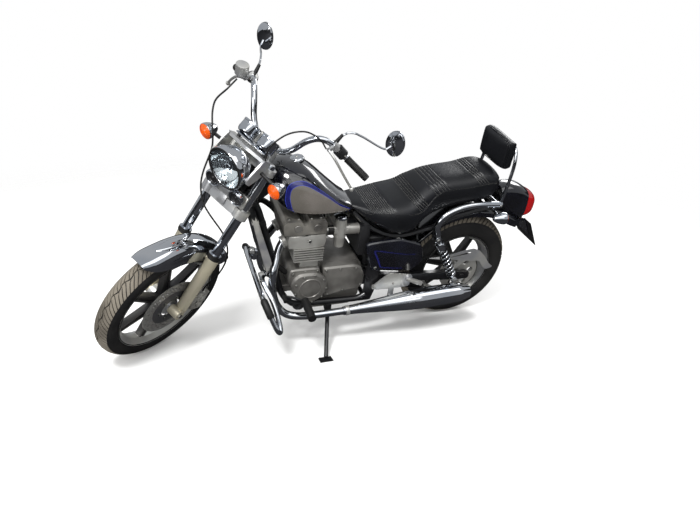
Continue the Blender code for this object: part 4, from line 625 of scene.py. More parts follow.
refined("rear_wheel_casting", SPOKE, 40, 2, REAR_WHEEL,
        [(beyond(REAR_RIM_IN), BRIGHT), (within(HUB_R), BRIGHT)])
refined("radiator", PLASTIC, 40, 1, MACHINE, [(lambda x, y, z: np.abs(y) > CORE_HALF, PLATE_GREY)])

# %% [markdown]
# ## Handlebar and grips
# The bar starts as straight tube, is bent cold over a die and is then plated. A curve object with
# a bevel would give it too, but a swept ring keeps its seams under control, so the CAD's own
# route is swept with finer steps and the highlights run along it without facets. The grips are
# moulded rubber, spun here with a square rib for each of the real ones.

# %% Handlebar and grips
BAR_R = 0.0127
LEFT_BAR = [(-0.012, 0.0, 0.864), (-0.012, 0.072, 0.864), (-0.004, 0.112, 0.905), (0.010, 0.148, 0.975),
            (0.004, 0.186, 1.020), (-0.035, 0.228, 1.030), (-0.108, 0.278, 1.008), (-0.146, 0.398, 0.990)]
GRIP_RIBS = 15
RIB_START = 0.008
RIB_PITCH = 0.0068
# columns of every profile: radius, height
GRIP_MOUTH = [(0.0, 0.0), (0.0145, 0.0), (0.0155, 0.004)]
GRIP_RIB = [(0.0148, 0.0), (0.0162, 0.0012), (0.0162, 0.0050), (0.0148, 0.0062)]
GRIP_FLANGE = [(0.0165, 0.112), (0.0165, 0.117), (0.0130, 0.119)]
BAR_END = [(0.0, -0.0018), (0.010, -0.0018), (0.0125, -0.0005), (0.013, 0.003)]
RISER = [(0.0, 0.0785), (0.013, 0.0785), (0.016, 0.0756), (0.016, 0.0025), (0.018, 0.0), (0.0, 0.0)]
RISER_AT = (-0.012, 0.045, 0.8023)
RISER_SCREW_AT = (-0.012, 0.045, 0.8805)
grip = GRIP_MOUTH + [(radius, RIB_START + RIB_PITCH * rib + high) for rib in range(GRIP_RIBS)
                     for radius, high in GRIP_RIB] + GRIP_FLANGE
bar_way = (Vector(LEFT_BAR[-2]) - Vector(LEFT_BAR[-1])).normalized()
shapes = [(tube(bent(flip(LEFT_BAR, -1)[::-1] + LEFT_BAR[1:]), BAR_R, 20), CHROME)]
for side in (1, -1):
    end, way = sided(LEFT_BAR[-1], side), sided(bar_way, side)
    shapes += [(lathe(grip, end, way, 28), RUBBER), (lathe(BAR_END, end, way, 28), CHROME),
               (lathe(RISER, sided(RISER_AT, side)), BRIGHT),
               (screw_head(sided(RISER_SCREW_AT, side), UP, 0.004), ZINC)]
gathered("handlebar_tube", shapes, FORK, "steering", ("handlebar",))
print("grip ribs", 2 * GRIP_RIBS)

# %% [markdown]
# ## Engine guard
# The guard is one plated tube that loops out on either side to keep the engine off the road, with
# a rubber sleeve over the part that would touch first. The tube comes from the bender. The sleeve
# follows the same route a little thicker, so it fits wherever the route is moved.

# %% Engine guard
LEFT_GUARD = [(1.112, 0.0, 0.402), (1.110, 0.200, 0.394), (1.098, 0.276, 0.366), (1.058, 0.330, 0.262),
              (1.040, 0.314, 0.250), (1.048, 0.262, 0.318), (1.064, 0.208, 0.378), (1.094, 0.150, 0.424),
              (1.090, 0.106, 0.438), (1.030, 0.088, 0.446)]
GUARD_R = 0.0125
GUARD_BEND = 0.045
SLEEVE_FROM, SLEEVE_TO, SLEEVE_BACK = 0.226, 0.312, 1.075
SLEEVE_R = 0.0175
SLEEVE_MOUTH = [0.0142, 0.0165]
COLLAR = [(0.0127, -0.012), (0.0160, -0.010), (0.0160, 0.010), (0.0127, 0.012)]
COLLAR_AT, COLLAR_WAY = (1.090, 0.106, 0.438), (0.8, 0.25, -0.1)
GUARD_BOLT_AT, GUARD_BOLT_WAY = (1.100, 0.150, 0.4365), (0.1, 0.0, 1.0)
shapes = [(tube(bent(flip(LEFT_GUARD, -1)[::-1] + LEFT_GUARD[1:], GUARD_BEND, 8), GUARD_R, 18), CHROME)]
for side in (1, -1):
    covered = [point for point in bent(flip(LEFT_GUARD, side), GUARD_BEND, 16)
               if SLEEVE_FROM < abs(point.y) < SLEEVE_TO and point.x > SLEEVE_BACK]
    thick = SLEEVE_MOUTH + [SLEEVE_R] * (len(covered) - 4) + SLEEVE_MOUTH[::-1]
    shapes += [(tube(covered, thick, 24), RUBBER),
               (lathe(COLLAR, sided(COLLAR_AT, side), sided(COLLAR_WAY, side), 24), BRIGHT),
               (hex_head(sided(GUARD_BOLT_AT, side), GUARD_BOLT_WAY, 0.006), ZINC)]
gathered("engine_guard_tube", shapes, MACHINE, "chassis", ("engine_guard",))
print("points under a sleeve", len(covered))

# %% [markdown]
# ## Grab rail and backrest hoop
# A passenger holds a thick plated rail that sweeps up behind the dampers, and leans on a pad held
# by a thinner hoop. Both are bent tube, joined by a cross tube. They are separate sweeps in one
# piece, since the real ones are bolted and the joints show.

# %% Grab rail and backrest hoop
RAIL_LEFT = [(0.222, 0.152, 0.6005), (0.222, 0.152, 0.616), (0.239, 0.152, 0.655), (0.214, 0.152, 0.706),
             (0.150, 0.152, 0.744), (0.050, 0.150, 0.760), (-0.104, 0.148, 0.752)]
UPRIGHT_LEFT = [(-0.096, 0.148, 0.752), (-0.116, 0.140, 0.830), (-0.128, 0.132, 0.960),
                (-0.132, 0.100, 1.030)]
RAIL_R, HOOP_R, CROSS_R = 0.0160, 0.0085, 0.009
RAIL_BEND = 0.05
CROSS_END = (-0.096, 0.148, 0.747)
STUD = [(0.0, 0.0), (0.008, 0.0), (0.008, 0.024), (0.0, 0.024)]
STUD_AT = (-0.100, 0.125, 0.7243)
RAIL_SCREW_AT = (-0.096, 0.1625, 0.752)
shapes = []
for side in (1, -1):
    shapes += [(tube(bent(flip(RAIL_LEFT, side), RAIL_BEND, 10), RAIL_R, 22), CHROME),
               (lathe(STUD, sided(STUD_AT, side)), CHROME),
               (screw_head(sided(RAIL_SCREW_AT, side), (0.0, side, 0.0), 0.006), ZINC)]
hoop = UPRIGHT_LEFT + flip(UPRIGHT_LEFT, -1)[::-1]
shapes += [(tube(bent(hoop, RAIL_BEND, 10), HOOP_R, 18), CHROME),
           (tube(flip([CROSS_END], -1) + [CROSS_END], CROSS_R, 18), CHROME)]
gathered("grab_rail_tube", shapes, MACHINE, "chassis", ("grab_rail",))
print("hoop height in mm", round(1000 * (UPRIGHT_LEFT[-1][2] - UPRIGHT_LEFT[0][2])))

# %% [markdown]
# ## Exhaust
# Each header is a plated bent tube, clamped to the head by a flange and to its muffler by a ring.
# The muffler is a long spun cone that ends in a short inward cone, with a dark outlet. A lathe
# profile gives all of it one clean skin, as the real one is spun from sheet, and the cone's
# points are joined by a smooth curve so that no ridge breaks the long highlight.

# %% Exhausts
HEADER = [(0.984, 0.075, 0.592), (1.000, 0.082, 0.566), (1.016, 0.098, 0.530), (1.040, 0.136, 0.462),
          (1.048, 0.150, 0.380), (1.030, 0.156, 0.296), (0.990, 0.168, 0.242), (0.930, 0.182, 0.225),
          (0.840, 0.194, 0.228), (0.700, 0.206, 0.240)]
HEADER_R = 0.0190
PORT_WAY = (0.868, 0.0, -0.496)
MUFFLER_TIP = (-0.006, 0.213, 0.276)
# columns: radius, height over the muffler's tip
OUTLET = [(0.0, 0.050), (0.0335, 0.050), (0.0345, 0.004), (0.0355, 0.0), (0.0365, 0.0015)]
BORE = [(0.0, 0.049), (0.0334, 0.049), (0.0338, 0.006)]
# columns: radius, share of the muffler's length from its tip
END_CONE = [(0.0500, 0.072), (0.0512, 0.075)]
CONE = [(0.0520, 0.080), (0.0548, 0.190), (0.0560, 0.300), (0.0550, 0.420), (0.0504, 0.520), (0.0440, 0.620),
        (0.0362, 0.730), (0.0290, 0.840), (0.0243, 0.930), (0.0215, 1.000)]
FLANGE = [(0.0195, 0.0), (0.0275, 0.0), (0.0285, 0.0015), (0.0285, 0.0065), (0.0275, 0.0080),
          (0.0195, 0.008)]
RING = [(0.0225, 0.0), (0.0245, 0.0), (0.0250, 0.001), (0.0250, 0.017), (0.0245, 0.018), (0.0215, 0.018)]
FLANGE_GAP, RING_BACK = 0.001, 0.030


def stretched(profile, length):
    return [(radius, share * length) for radius, share in profile]


for hand, side in LEFT_RIGHT.items():
    tip, front = sided(MUFFLER_TIP, side), sided(HEADER[-1], side)
    way = front - tip
    length = way.length
    profile = (OUTLET + stretched(END_CONE, length) + rounded(stretched(CONE, length), 4)
               + [(HEADER_R + 0.0005, length), (0.0, length)])
    flange_at = sided(HEADER[0], side) + Vector(PORT_WAY) * FLANGE_GAP
    shapes = [(lathe(profile, tip, way, 72), CHROME), (lathe(BORE, tip, way, 48), PLASTIC),
              (tube(curved(flip(HEADER, side), 8), HEADER_R, 24), CHROME),
              (lathe(FLANGE, flange_at, PORT_WAY, 40), BRIGHT),
              (lathe(RING, front - way.normalized() * RING_BACK, way, 40), BRIGHT)]
    gathered(f"exhaust_pipe_{hand}", shapes, MACHINE, "chassis", (f"exhaust_{hand}",))
print("muffler length in mm", round(1000 * length))

# %% [markdown]
# ## Spring dampers
# The coil is a wire wound on a mandrel. A Screw modifier could wind it too, but a route given to
# the tube bender ends exactly at the two seats, whatever their distance. The damper's top cover,
# rod and lower seat are spun round the same line, and an eye at each end takes its bolt.

# %% Dampers
DAMPER_LOW, DAMPER_HIGH = (0.066, 0.155, 0.322), (0.218, 0.155, 0.582)
COILS = 7
COIL_STEPS = 26
COIL_R, WIRE_R = 0.0222, 0.0041
COIL_FOOT, COIL_HEAD = 0.0540, 0.0680
# columns: radius, height under the upper eye
COVER = [(0.0, 0.0), (0.0115, 0.0), (0.014, -0.020), (0.0245, -0.024), (0.0262, -0.027), (0.0262, -0.062),
         (0.0245, -0.064), (0.0, -0.064)]
ROD_HEAD = [(0.0, -0.06), (0.0150, -0.062)]
# columns: radius, height over the lower eye
ROD_FOOT = [(0.0150, 0.124), (0.0095, 0.118), (0.0095, 0.040)]
SPRING_SEAT = [(0.0095, 0.0505), (0.0250, 0.0500), (0.0258, 0.0490), (0.0250, 0.0370), (0.0150, 0.0340),
               (0.0100, 0.0120)]
EYE = [(0.0, 0.0), (0.0150, 0.0), (0.0165, 0.0015), (0.0165, 0.0255), (0.0150, 0.027), (0.0, 0.027)]
EYE_NUT = [(0.0, 0.006), (0.0070, 0.006), (0.0085, 0.0045), (0.0085, 0.0), (0.0, 0.0)]
EYE_Y, EYE_NUT_Y = 0.140, 0.167
for hand, side in LEFT_RIGHT.items():
    low, high = sided(DAMPER_LOW, side), sided(DAMPER_HIGH, side)
    way, out = high - low, (0.0, side, 0.0)
    length = way.length
    rise = length - COIL_HEAD - COIL_FOOT
    coil = []
    for index in range(COILS * COIL_STEPS + 1):
        turn = index / COIL_STEPS
        spot = Vector((COIL_R * math.cos(math.tau * turn), COIL_R * math.sin(math.tau * turn),
                       COIL_FOOT + rise * turn / COILS))
        coil.append(turn_to(low, way) @ spot)
    cover, rod_head = ([(radius, length + drop) for radius, drop in part] for part in (COVER, ROD_HEAD))
    shapes = [(lathe(cover, low, way, 40), CHROME), (lathe(rod_head + ROD_FOOT, low, way, 28), POWDER),
              (lathe(SPRING_SEAT, low, way, 40), CHROME), (tube(coil, WIRE_R, 12), CHROME)]
    for spot in (low, high):
        shapes += [(lathe(EYE, (spot.x, side * EYE_Y, spot.z), out, 32), CHROME),
                   (lathe(EYE_NUT, (spot.x, side * EYE_NUT_Y, spot.z), out, 6), ZINC)]
    gathered(f"spring_damper_{hand}", shapes, MACHINE, "chassis", (f"damper_{hand}",))
print("spring length in mm", round(1000 * rise))

# %% [markdown]
# ## Headlight
# A headlight is a plated bowl with a rubber ring, a silvered reflector and fluted glass. All of
# them are turned shapes, so all come off the lathe. The glass is a dome with real thickness, and
# its inner side is moved in and out across the lamp to make the flutes, which bend the reflector
# behind them as pressed glass does.

# %% Headlight
LAMP_AT = (0.173, 0.0, 0.714)
FLUTES = 13
FLUTE_DEEP = 0.0006
FLUTED_WIDTH, FLUTED_HALF, INNER_FACE = 0.16, 0.074, 0.0095
# columns of every profile: radius, distance ahead of the lamp's middle
RIM = [(0.0800, 0.0020), (0.0812, 0.0042), (0.0837, 0.0058), (0.0870, 0.0050), (0.0892, 0.0020)]
BOWL = [(0.0900, -0.004), (0.0900, -0.016), (0.0873, -0.030), (0.0774, -0.062), (0.0558, -0.088),
        (0.0270, -0.100)]
LAMP_RUBBER = [(0.0800, 0.0040), (0.0812, 0.0068), (0.0840, 0.0076), (0.0868, 0.0064), (0.0880, 0.0042)]
REFLECTOR = [(0.0800, -0.004), (0.0740, -0.022), (0.0600, -0.043), (0.0400, -0.058), (0.0160, -0.066),
             (0.0, -0.066)]
BULB_CAP = [(0.0, -0.016), (0.0100, -0.017), (0.0140, -0.020), (0.0140, -0.034), (0.0090, -0.037),
            (0.0090, -0.062)]
DOME = [(0.0, 0.0120), (0.020, 0.0117), (0.040, 0.0100), (0.060, 0.0070), (0.075, 0.0038), (0.0806, 0.0015),
        (0.0806, -0.0015), (0.075, 0.0006), (0.060, 0.0040), (0.040, 0.0072), (0.020, 0.0088), (0.0, 0.0092)]
parts = [(RIM + rounded(BOWL, 6) + [(0.0, BOWL[-1][1])], 96, CHROME), (LAMP_RUBBER, 96, RUBBER),
         (REFLECTOR, 96, MIRROR), (BULB_CAP, 40, CHROME)]
shapes = [(lathe(profile, LAMP_AT, AHEAD, steps), material) for profile, steps, material in parts]
gathered("headlight_bowl", shapes, FORK, "steering", ("headlight",))
glass = lathe(DOME, LAMP_AT, AHEAD, 128)
for vert in glass.verts:
    ahead = (vert.co - Vector(LAMP_AT)).dot(Vector(AHEAD))
    if abs(vert.co.y) < FLUTED_HALF and ahead < INNER_FACE:
        wave = math.cos(math.tau * FLUTES * vert.co.y / FLUTED_WIDTH)
        vert.co += Vector(AHEAD) * FLUTE_DEEP * wave
gathered("headlight_glass", [(glass, GLASS)], FORK, "steering")
print("lamp across in mm", round(2000 * BOWL[0][0]))

# %% [markdown]
# ## Indicators
# Each indicator is a plated cup shaped like a bullet, closed by an amber lens. The lens is moulded
# with rings that spread the light, so its profile is a dome with a small step at each ring. The
# front ones stand on rubber stems, which give when the machine falls, and the rear ones on plated
# stems.

# %% Indicators
CROWN = 0.0138
LENS_RINGS = 10
RING_STEP = 0.0006
STEM_R = 0.0074


def bullet(centre, way, stem_end, radius, length, stem):
    """An indicator: plated cup, ringed lens and stem."""
    lip = [(0.90 * radius, 0.0), (0.97 * radius, 0.001)]
    cup = rounded([(radius, -0.001), (radius, -0.012), (0.84 * radius, -0.50 * length),
                   (0.46 * radius, -0.88 * length), (0.10 * radius, -length)], 6)
    lens = [(0.0, CROWN)]
    for ring in range(1, LENS_RINGS):
        share = ring / LENS_RINGS
        rise = CROWN * (1.0 - share ** 2.4)
        lens += [(share * radius - 1.5 * RING_STEP, rise - RING_STEP), (share * radius, rise)]
    lens += [(0.93 * radius, 0.002), (0.93 * radius, -0.003), (0.0, -0.003)]
    middle = Vector(centre) - Vector(way).normalized() * 0.38 * length
    return [(lathe(lip + cup + [(0.0, -length)], centre, way, 48), CHROME),
            (lathe(lens, centre, way, 48), AMBER), (tube([stem_end, middle], STEM_R, 20), stem)]


# columns: end, centre, direction, stem's foot, radius, length, stem's finish, local frame, body
INDICATORS = [("front", (0.111, 0.199, 0.756), AHEAD, (0.099, 0.1045, 0.776), 0.033, 0.062, RUBBER, FORK,
               "steering"),
              ("rear", (-0.115, 0.195, 0.700), (-1.0, 0.0, 0.0), (-0.075, 0.1295, 0.717), 0.031, 0.070,
               CHROME, MACHINE, "chassis")]
for hand, side in LEFT_RIGHT.items():
    for end, centre, way, foot, radius, length, stem, place, body in INDICATORS:
        gathered(f"{end}_indicator_lamp_{hand}",
                 bullet(sided(centre, side), way, sided(foot, side), radius, length, stem), place, body,
                 (f"{end}_indicator_{hand}",))
print("indicators", 2 * len(INDICATORS))

# %% [markdown]
# ## Horns
# Two pressed steel horns hang below the headlight on an aluminium block. A horn is a thin
# diaphragm behind a plated ring. Three lathe profiles make it: the rolled ring, the dished face
# and the back.

# %% Horns
HORN_AT = (0.107, 0.068, 0.623)
HORN_R = 0.037
HORN_BLOCKS = [((0.0745, -0.108, 0.592), (0.0820, 0.108, 0.652), 0.003),
               ((0.0743, -0.020, 0.553), (0.0820, 0.020, 0.600), 0.002)]
HORN_SCREW_AT = (0.0820, 0.020, 0.630)
HORN_RING = [(0.78 * HORN_R, -0.002), (0.80 * HORN_R, 0.003), (0.88 * HORN_R, 0.0058),
             (0.97 * HORN_R, 0.003), (HORN_R, -0.002), (HORN_R, -0.012), (0.92 * HORN_R, -0.014)]
HORN_FACE = [(0.0, 0.001), (0.006, 0.001), (0.009, -0.003), (0.020, -0.004), (0.024, 0.0005),
             (0.0300, -0.001)]
HORN_BACK = [(0.92 * HORN_R, -0.012), (0.62 * HORN_R, -0.026), (0.0, -0.028)]
shapes = [(block(low, high, bevel), BRIGHT) for low, high, bevel in HORN_BLOCKS]
for side in (1, -1):
    at = sided(HORN_AT, side)
    shapes += [(lathe(HORN_RING, at, AHEAD, 48), CHROME), (lathe(HORN_FACE, at, AHEAD, 40), PLASTIC),
               (lathe(HORN_BACK, at, AHEAD, 40), PLASTIC),
               (screw_head(sided(HORN_SCREW_AT, side), (1.0, 0.0, 0.0), 0.0052), PLASTIC)]
gathered("horn_pair", shapes, FORK, "steering", ("horns",))
print("horn across in mm", round(2000 * HORN_R))

# %% [markdown]
# ## Gauges
# The two gauges are plated pods with a black dial, a ring, eleven white marks and a red needle
# under glass. A picture of a dial would blur close up, so the marks are thin bars laid on it. The
# glass is a piece of its own, because it alone lets light through.

# %% Gauges
GAUGE_AT = (0.090, 0.052, 0.848)
GAUGE_WAY = (-0.35, 0.0, 0.94)
GAUGE_STUD_AT = (0.092, 0.070, 0.8295)
GAUGE_BRACKET = ((0.060, -0.080, 0.843), (0.112, 0.080, 0.850))
MARKS = 11
MARK_FIRST, MARK_TURN = -130.0, 26.0
MARK_IN, MARK_OUT, MARK_HIGH = 0.0270, 0.0325, 0.0506
NEEDLE = [(0.0, 0.0, 0.052), (-0.020, -0.018, 0.0515)]
POD = [(0.0385, 0.0560), (0.0392, 0.0578), (0.0404, 0.0580), (0.0412, 0.0566), (0.0412, 0.0500),
       (0.0402, 0.0490), (0.0400, 0.0160), (0.0380, 0.0080), (0.0330, 0.0020), (0.0, 0.0)]
DISH = [(0.0, 0.0500), (0.0388, 0.0500), (0.0388, 0.0570)]
SCALE_RING = [(0.0330, 0.0502), (0.0330, 0.0506), (0.0342, 0.0506), (0.0342, 0.0502)]
NEEDLE_CAP = [(0.0, 0.0540), (0.0040, 0.0535), (0.0050, 0.0510)]
GAUGE_STUD = [(0.0, 0.0), (0.008, 0.0), (0.008, 0.0145), (0.0, 0.0145)]
GAUGE_GLASS = [(0.0, 0.0574), (0.030, 0.0570), (0.0388, 0.0562), (0.0388, 0.0552), (0.0, 0.0560)]
shapes = [(block(*GAUGE_BRACKET, 0.003), CHROME)]
glasses = []
for side in (1, -1):
    at = sided(GAUGE_AT, side)
    dial = turn_to(at, GAUGE_WAY)
    shapes += [(lathe(POD, at, GAUGE_WAY, 64), CHROME), (lathe(DISH, at, GAUGE_WAY, 64), DIAL),
               (lathe(SCALE_RING, at, GAUGE_WAY, 64), WHITE)]
    for mark in range(MARKS):
        angle = math.radians(MARK_FIRST + MARK_TURN * mark)
        ends = [dial @ Vector((reach * math.cos(angle), reach * math.sin(angle), MARK_HIGH))
                for reach in (MARK_IN, MARK_OUT)]
        shapes.append((tube(ends, 0.0007, 6), WHITE))
    shapes += [(tube([dial @ Vector(point) for point in NEEDLE], [0.0016, 0.0005], 8), RED),
               (lathe(NEEDLE_CAP, at, GAUGE_WAY, 24), PLASTIC),
               (lathe(GAUGE_STUD, sided(GAUGE_STUD_AT, side)), PLASTIC)]
    glasses.append((lathe(GAUGE_GLASS, at, GAUGE_WAY, 64), GLASS))
gathered("gauge_pods", shapes, FORK, "steering", ("gauges",))
gathered("gauge_glasses", glasses, FORK, "steering")
print("dial marks", 2 * MARKS)

# %% [markdown]
# ## Mirror faces
# A mirror is silvered glass held in a moulded rim. Both start as round lathe shapes and are
# squeezed to the real oval, which keeps the rim's section even all the way round.

# %% Mirror glass and rims
MIRROR_AT = (-0.212, 0.389, 1.168)
MIRROR_WAY = (-0.859, 0.0, 0.512)
MIRROR_HALF = (0.045, 0.060)
# columns: share of the oval's half size, height
MIRROR_RIM = [(0.925, 0.0038), (0.945, 0.0050), (0.985, 0.0040), (1.0, 0.0005), (0.985, -0.004)]
MIRROR_FACE = [(0.0, 0.0050), (0.500, 0.0049), (0.935, 0.0044), (0.935, 0.0035), (0.0, 0.0035)]
for hand, side in LEFT_RIGHT.items():
    squeeze = turn_to(sided(MIRROR_AT, side), MIRROR_WAY) @ Matrix.Diagonal((*MIRROR_HALF, 1.0, 1.0))
    shapes = [(lathe(MIRROR_RIM, steps=72), PLASTIC), (lathe(MIRROR_FACE, steps=72), MIRROR)]
    for form, _ in shapes:
        bmesh.ops.transform(form, matrix=squeeze, verts=form.verts)
    gathered(f"mirror_face_{hand}", shapes, FORK, "steering")
print("mirror across in mm", [round(2000 * half) for half in MIRROR_HALF])

# %% [markdown]
# ## Engine dressing
# The side covers are held by rows of socket screws and carry a raised ring, and hexagon bolts
# hold the camshaft cover. One function places screws on a circle and another spins the ring, so
# both sides use them. The castings under them stay as they are, with only their finish.

# %% Engine fasteners and covers
SIDE_SCREW_R = 0.0048
LEFT_COVER, RIGHT_COVER = (0.868, 0.378), (0.735, 0.372)
# columns: side plane, (x, z) of each screw outside the round covers
LEFT_SCREWS = [(0.158, [(0.640, 0.460), (0.720, 0.464), (0.790, 0.462), (0.606, 0.360), (0.700, 0.338),
                        (0.776, 0.322)]),
               (0.150, [(0.832, 0.462), (0.892, 0.464), (0.952, 0.456), (0.955, 0.402)])]
CAM_BOLTS = [0.826, 0.870, 0.928, 0.972]
HEAD_PLUGS = [0.935, 0.845]
PLUG = [(0.0, 0.006), (0.016, 0.006), (0.018, 0.004), (0.018, 0.0)]


def ring_of_screws(centre, radius, count, y, start):
    """Socket screws on a circle of a side cover."""
    turns = [start + math.tau * index / count for index in range(count)]
    spots = [(centre[0] + radius * math.cos(turn), y, centre[1] + radius * math.sin(turn)) for turn in turns]
    return [(screw_head(spot, (0.0, y, 0.0), SIDE_SCREW_R), ZINC) for spot in spots]


def boss_ring(centre, y, outer, high):
    """A raised ring cast on a side cover."""
    profile = [(0.0, 0.0), (0.048, 0.0), (0.050, high), (outer - 0.001, high), (outer, high - 0.001),
               (outer + 0.001, 0.0)]
    return [(lathe(profile, (centre[0], y, centre[1]), (0.0, y, 0.0), 64), CASE)]


shapes = ring_of_screws(LEFT_COVER, 0.078, 9, 0.1755, 0.4) + boss_ring(LEFT_COVER, 0.1758, 0.056, 0.0030)
for y, spots in LEFT_SCREWS:
    shapes += [(screw_head((x, y, z), (0.0, 1.0, 0.0), SIDE_SCREW_R), ZINC) for x, z in spots]
shapes += ring_of_screws(RIGHT_COVER, 0.090, 8, -0.160, 0.2) + boss_ring(RIGHT_COVER, -0.170, 0.058, 0.0025)
for side in (1, -1):
    out = (0.0, side, 0.0)
    shapes.append((hex_head((0.880, side * 0.150, 0.629), out, 0.009), ZINC))
    shapes += [(lathe(PLUG, (x, side * 0.146, 0.694), out, 40), CASE) for x in HEAD_PLUGS]
    shapes += [(hex_head((x, side * 0.120, 0.7275), UP, 0.0075), ZINC) for x in CAM_BOLTS]
gathered("engine_fasteners", shapes, MACHINE, "chassis")
print("engine fasteners", len(shapes))

# %% [markdown]
# ## Carburettors and plug leads
# Above each carburettor is a plated cap with four small screws, below it a cast float bowl, and
# between it and the head a rubber stub with a clamp. The black leads run to the spark plugs. These
# small shapes fill the gap in which the eye expects a lot to happen, so they are simple but all
# there.

# %% Carburettor tops, intake rubbers and plug leads
CARB_X, CARB_Y = 0.712, 0.075
CAP_SCREW_RING, CAP_SCREW_Z = 0.0270, 0.708
TOP_Z, BOWL_Z, INTAKE_Z = 0.697, 0.5485, 0.634
CARB_TOP = [(0.0, 0.0185), (0.008, 0.0185), (0.012, 0.0165), (0.026, 0.0130), (0.0305, 0.0090),
            (0.0325, 0.0080), (0.0325, 0.0), (0.030, 0.0)]
CLAMP = [(0.0245, 0.0), (0.0262, 0.0005), (0.0262, 0.0075), (0.0245, 0.008)]
STUB = [(0.0, 0.0), (0.0235, 0.0), (0.0240, 0.003), (0.0240, 0.039), (0.0235, 0.042), (0.0, 0.042)]
FLOAT_BOWL = [(0.0, 0.0), (0.018, 0.0), (0.022, 0.003), (0.0245, 0.010), (0.0245, 0.036), (0.0275, 0.037),
              (0.0275, 0.041), (0.0, 0.041)]
PLUG_LEAD = [(0.900, 0.045, 0.733), (0.898, 0.050, 0.752), (0.860, 0.070, 0.752), (0.800, 0.060, 0.744),
             (0.772, 0.045, 0.7375)]
LEAD_R = 0.0034
shapes = []
for side in (1, -1):
    y = side * CARB_Y
    shapes.append((lathe(CARB_TOP, (CARB_X, y, TOP_Z), steps=48), CHROME))
    for angle in (45.0, 135.0, 225.0, 315.0):
        turn = math.radians(angle)
        spot = (CARB_X + CAP_SCREW_RING * math.cos(turn), y + CAP_SCREW_RING * math.sin(turn), CAP_SCREW_Z)
        shapes.append((screw_head(spot, UP, 0.0028), ZINC))
    shapes += [(lathe(CLAMP, (0.776, y, INTAKE_Z), (1.0, 0.0, 0.0), 40), ZINC),
               (lathe(STUB, (0.745, y, INTAKE_Z), (1.0, 0.0, 0.0), 40), RUBBER),
               (lathe(FLOAT_BOWL, (CARB_X, y, BOWL_Z), steps=40), CAST),
               (hex_head((CARB_X, y, BOWL_Z), (0.0, 0.0, -1.0), 0.008), ZINC),
               (tube(curved(flip(PLUG_LEAD, side), 8), LEAD_R, 10), RUBBER)]
gathered("intake_dressing", shapes, MACHINE, "chassis")
print("intake pieces", len(shapes))

# %% [markdown]
# ## Tyres
# A tyre's tread is moulded: wavy grooves run round it and slanted ones drain to the shoulder. The
# CAD profile is spun with a column of points on each edge of every groove, and the groove floors
# are then pushed in, so that their walls are steep. Road dust has made the tread paler than the
# side wall, and the groove floors keep the side wall's black as painted shade in the grooves.

# %% Tread pattern
# the tread's rubber under road dust: a dry grey brown with no shine at all
TREAD = finish("dusty_tread_rubber", "#6E685E", 0.85, 0.0, grain=0.004, spread=0.10, bump=0.15,
               tint="#524D45", Specular_IOR_Level=0.25)
GROOVE_DEPTH = 0.0035
GROOVE_FLOOR, GROOVE_LIP = 0.0020, 0.0028
TREAD_ROWS, WALL_ROWS = 36, 30
PROBE = 0.001
# shares of one tread pitch; the slanted groove's floor lies between the second and the third
PITCH_COLUMNS = [0.0, 0.04, 0.22, 0.26, 0.45, 0.65, 0.84]


def half_profile(node, place):
    """The (radius, side) corners of a spun CAD node in its wheel's frame, in order round them."""
    back = place.inverted()
    spots = {(round(math.hypot(local.x, local.y), 4), round(local.z, 4))
             for local in (back @ vert.co for vert in frame["nodes"][node].data.vertices)}
    middle = Vector([sum(spot[axis] for spot in spots) / len(spots) for axis in (0, 1)])
    return sorted(spots, key=lambda spot: math.atan2(spot[1] - middle[1], spot[0] - middle[0]))

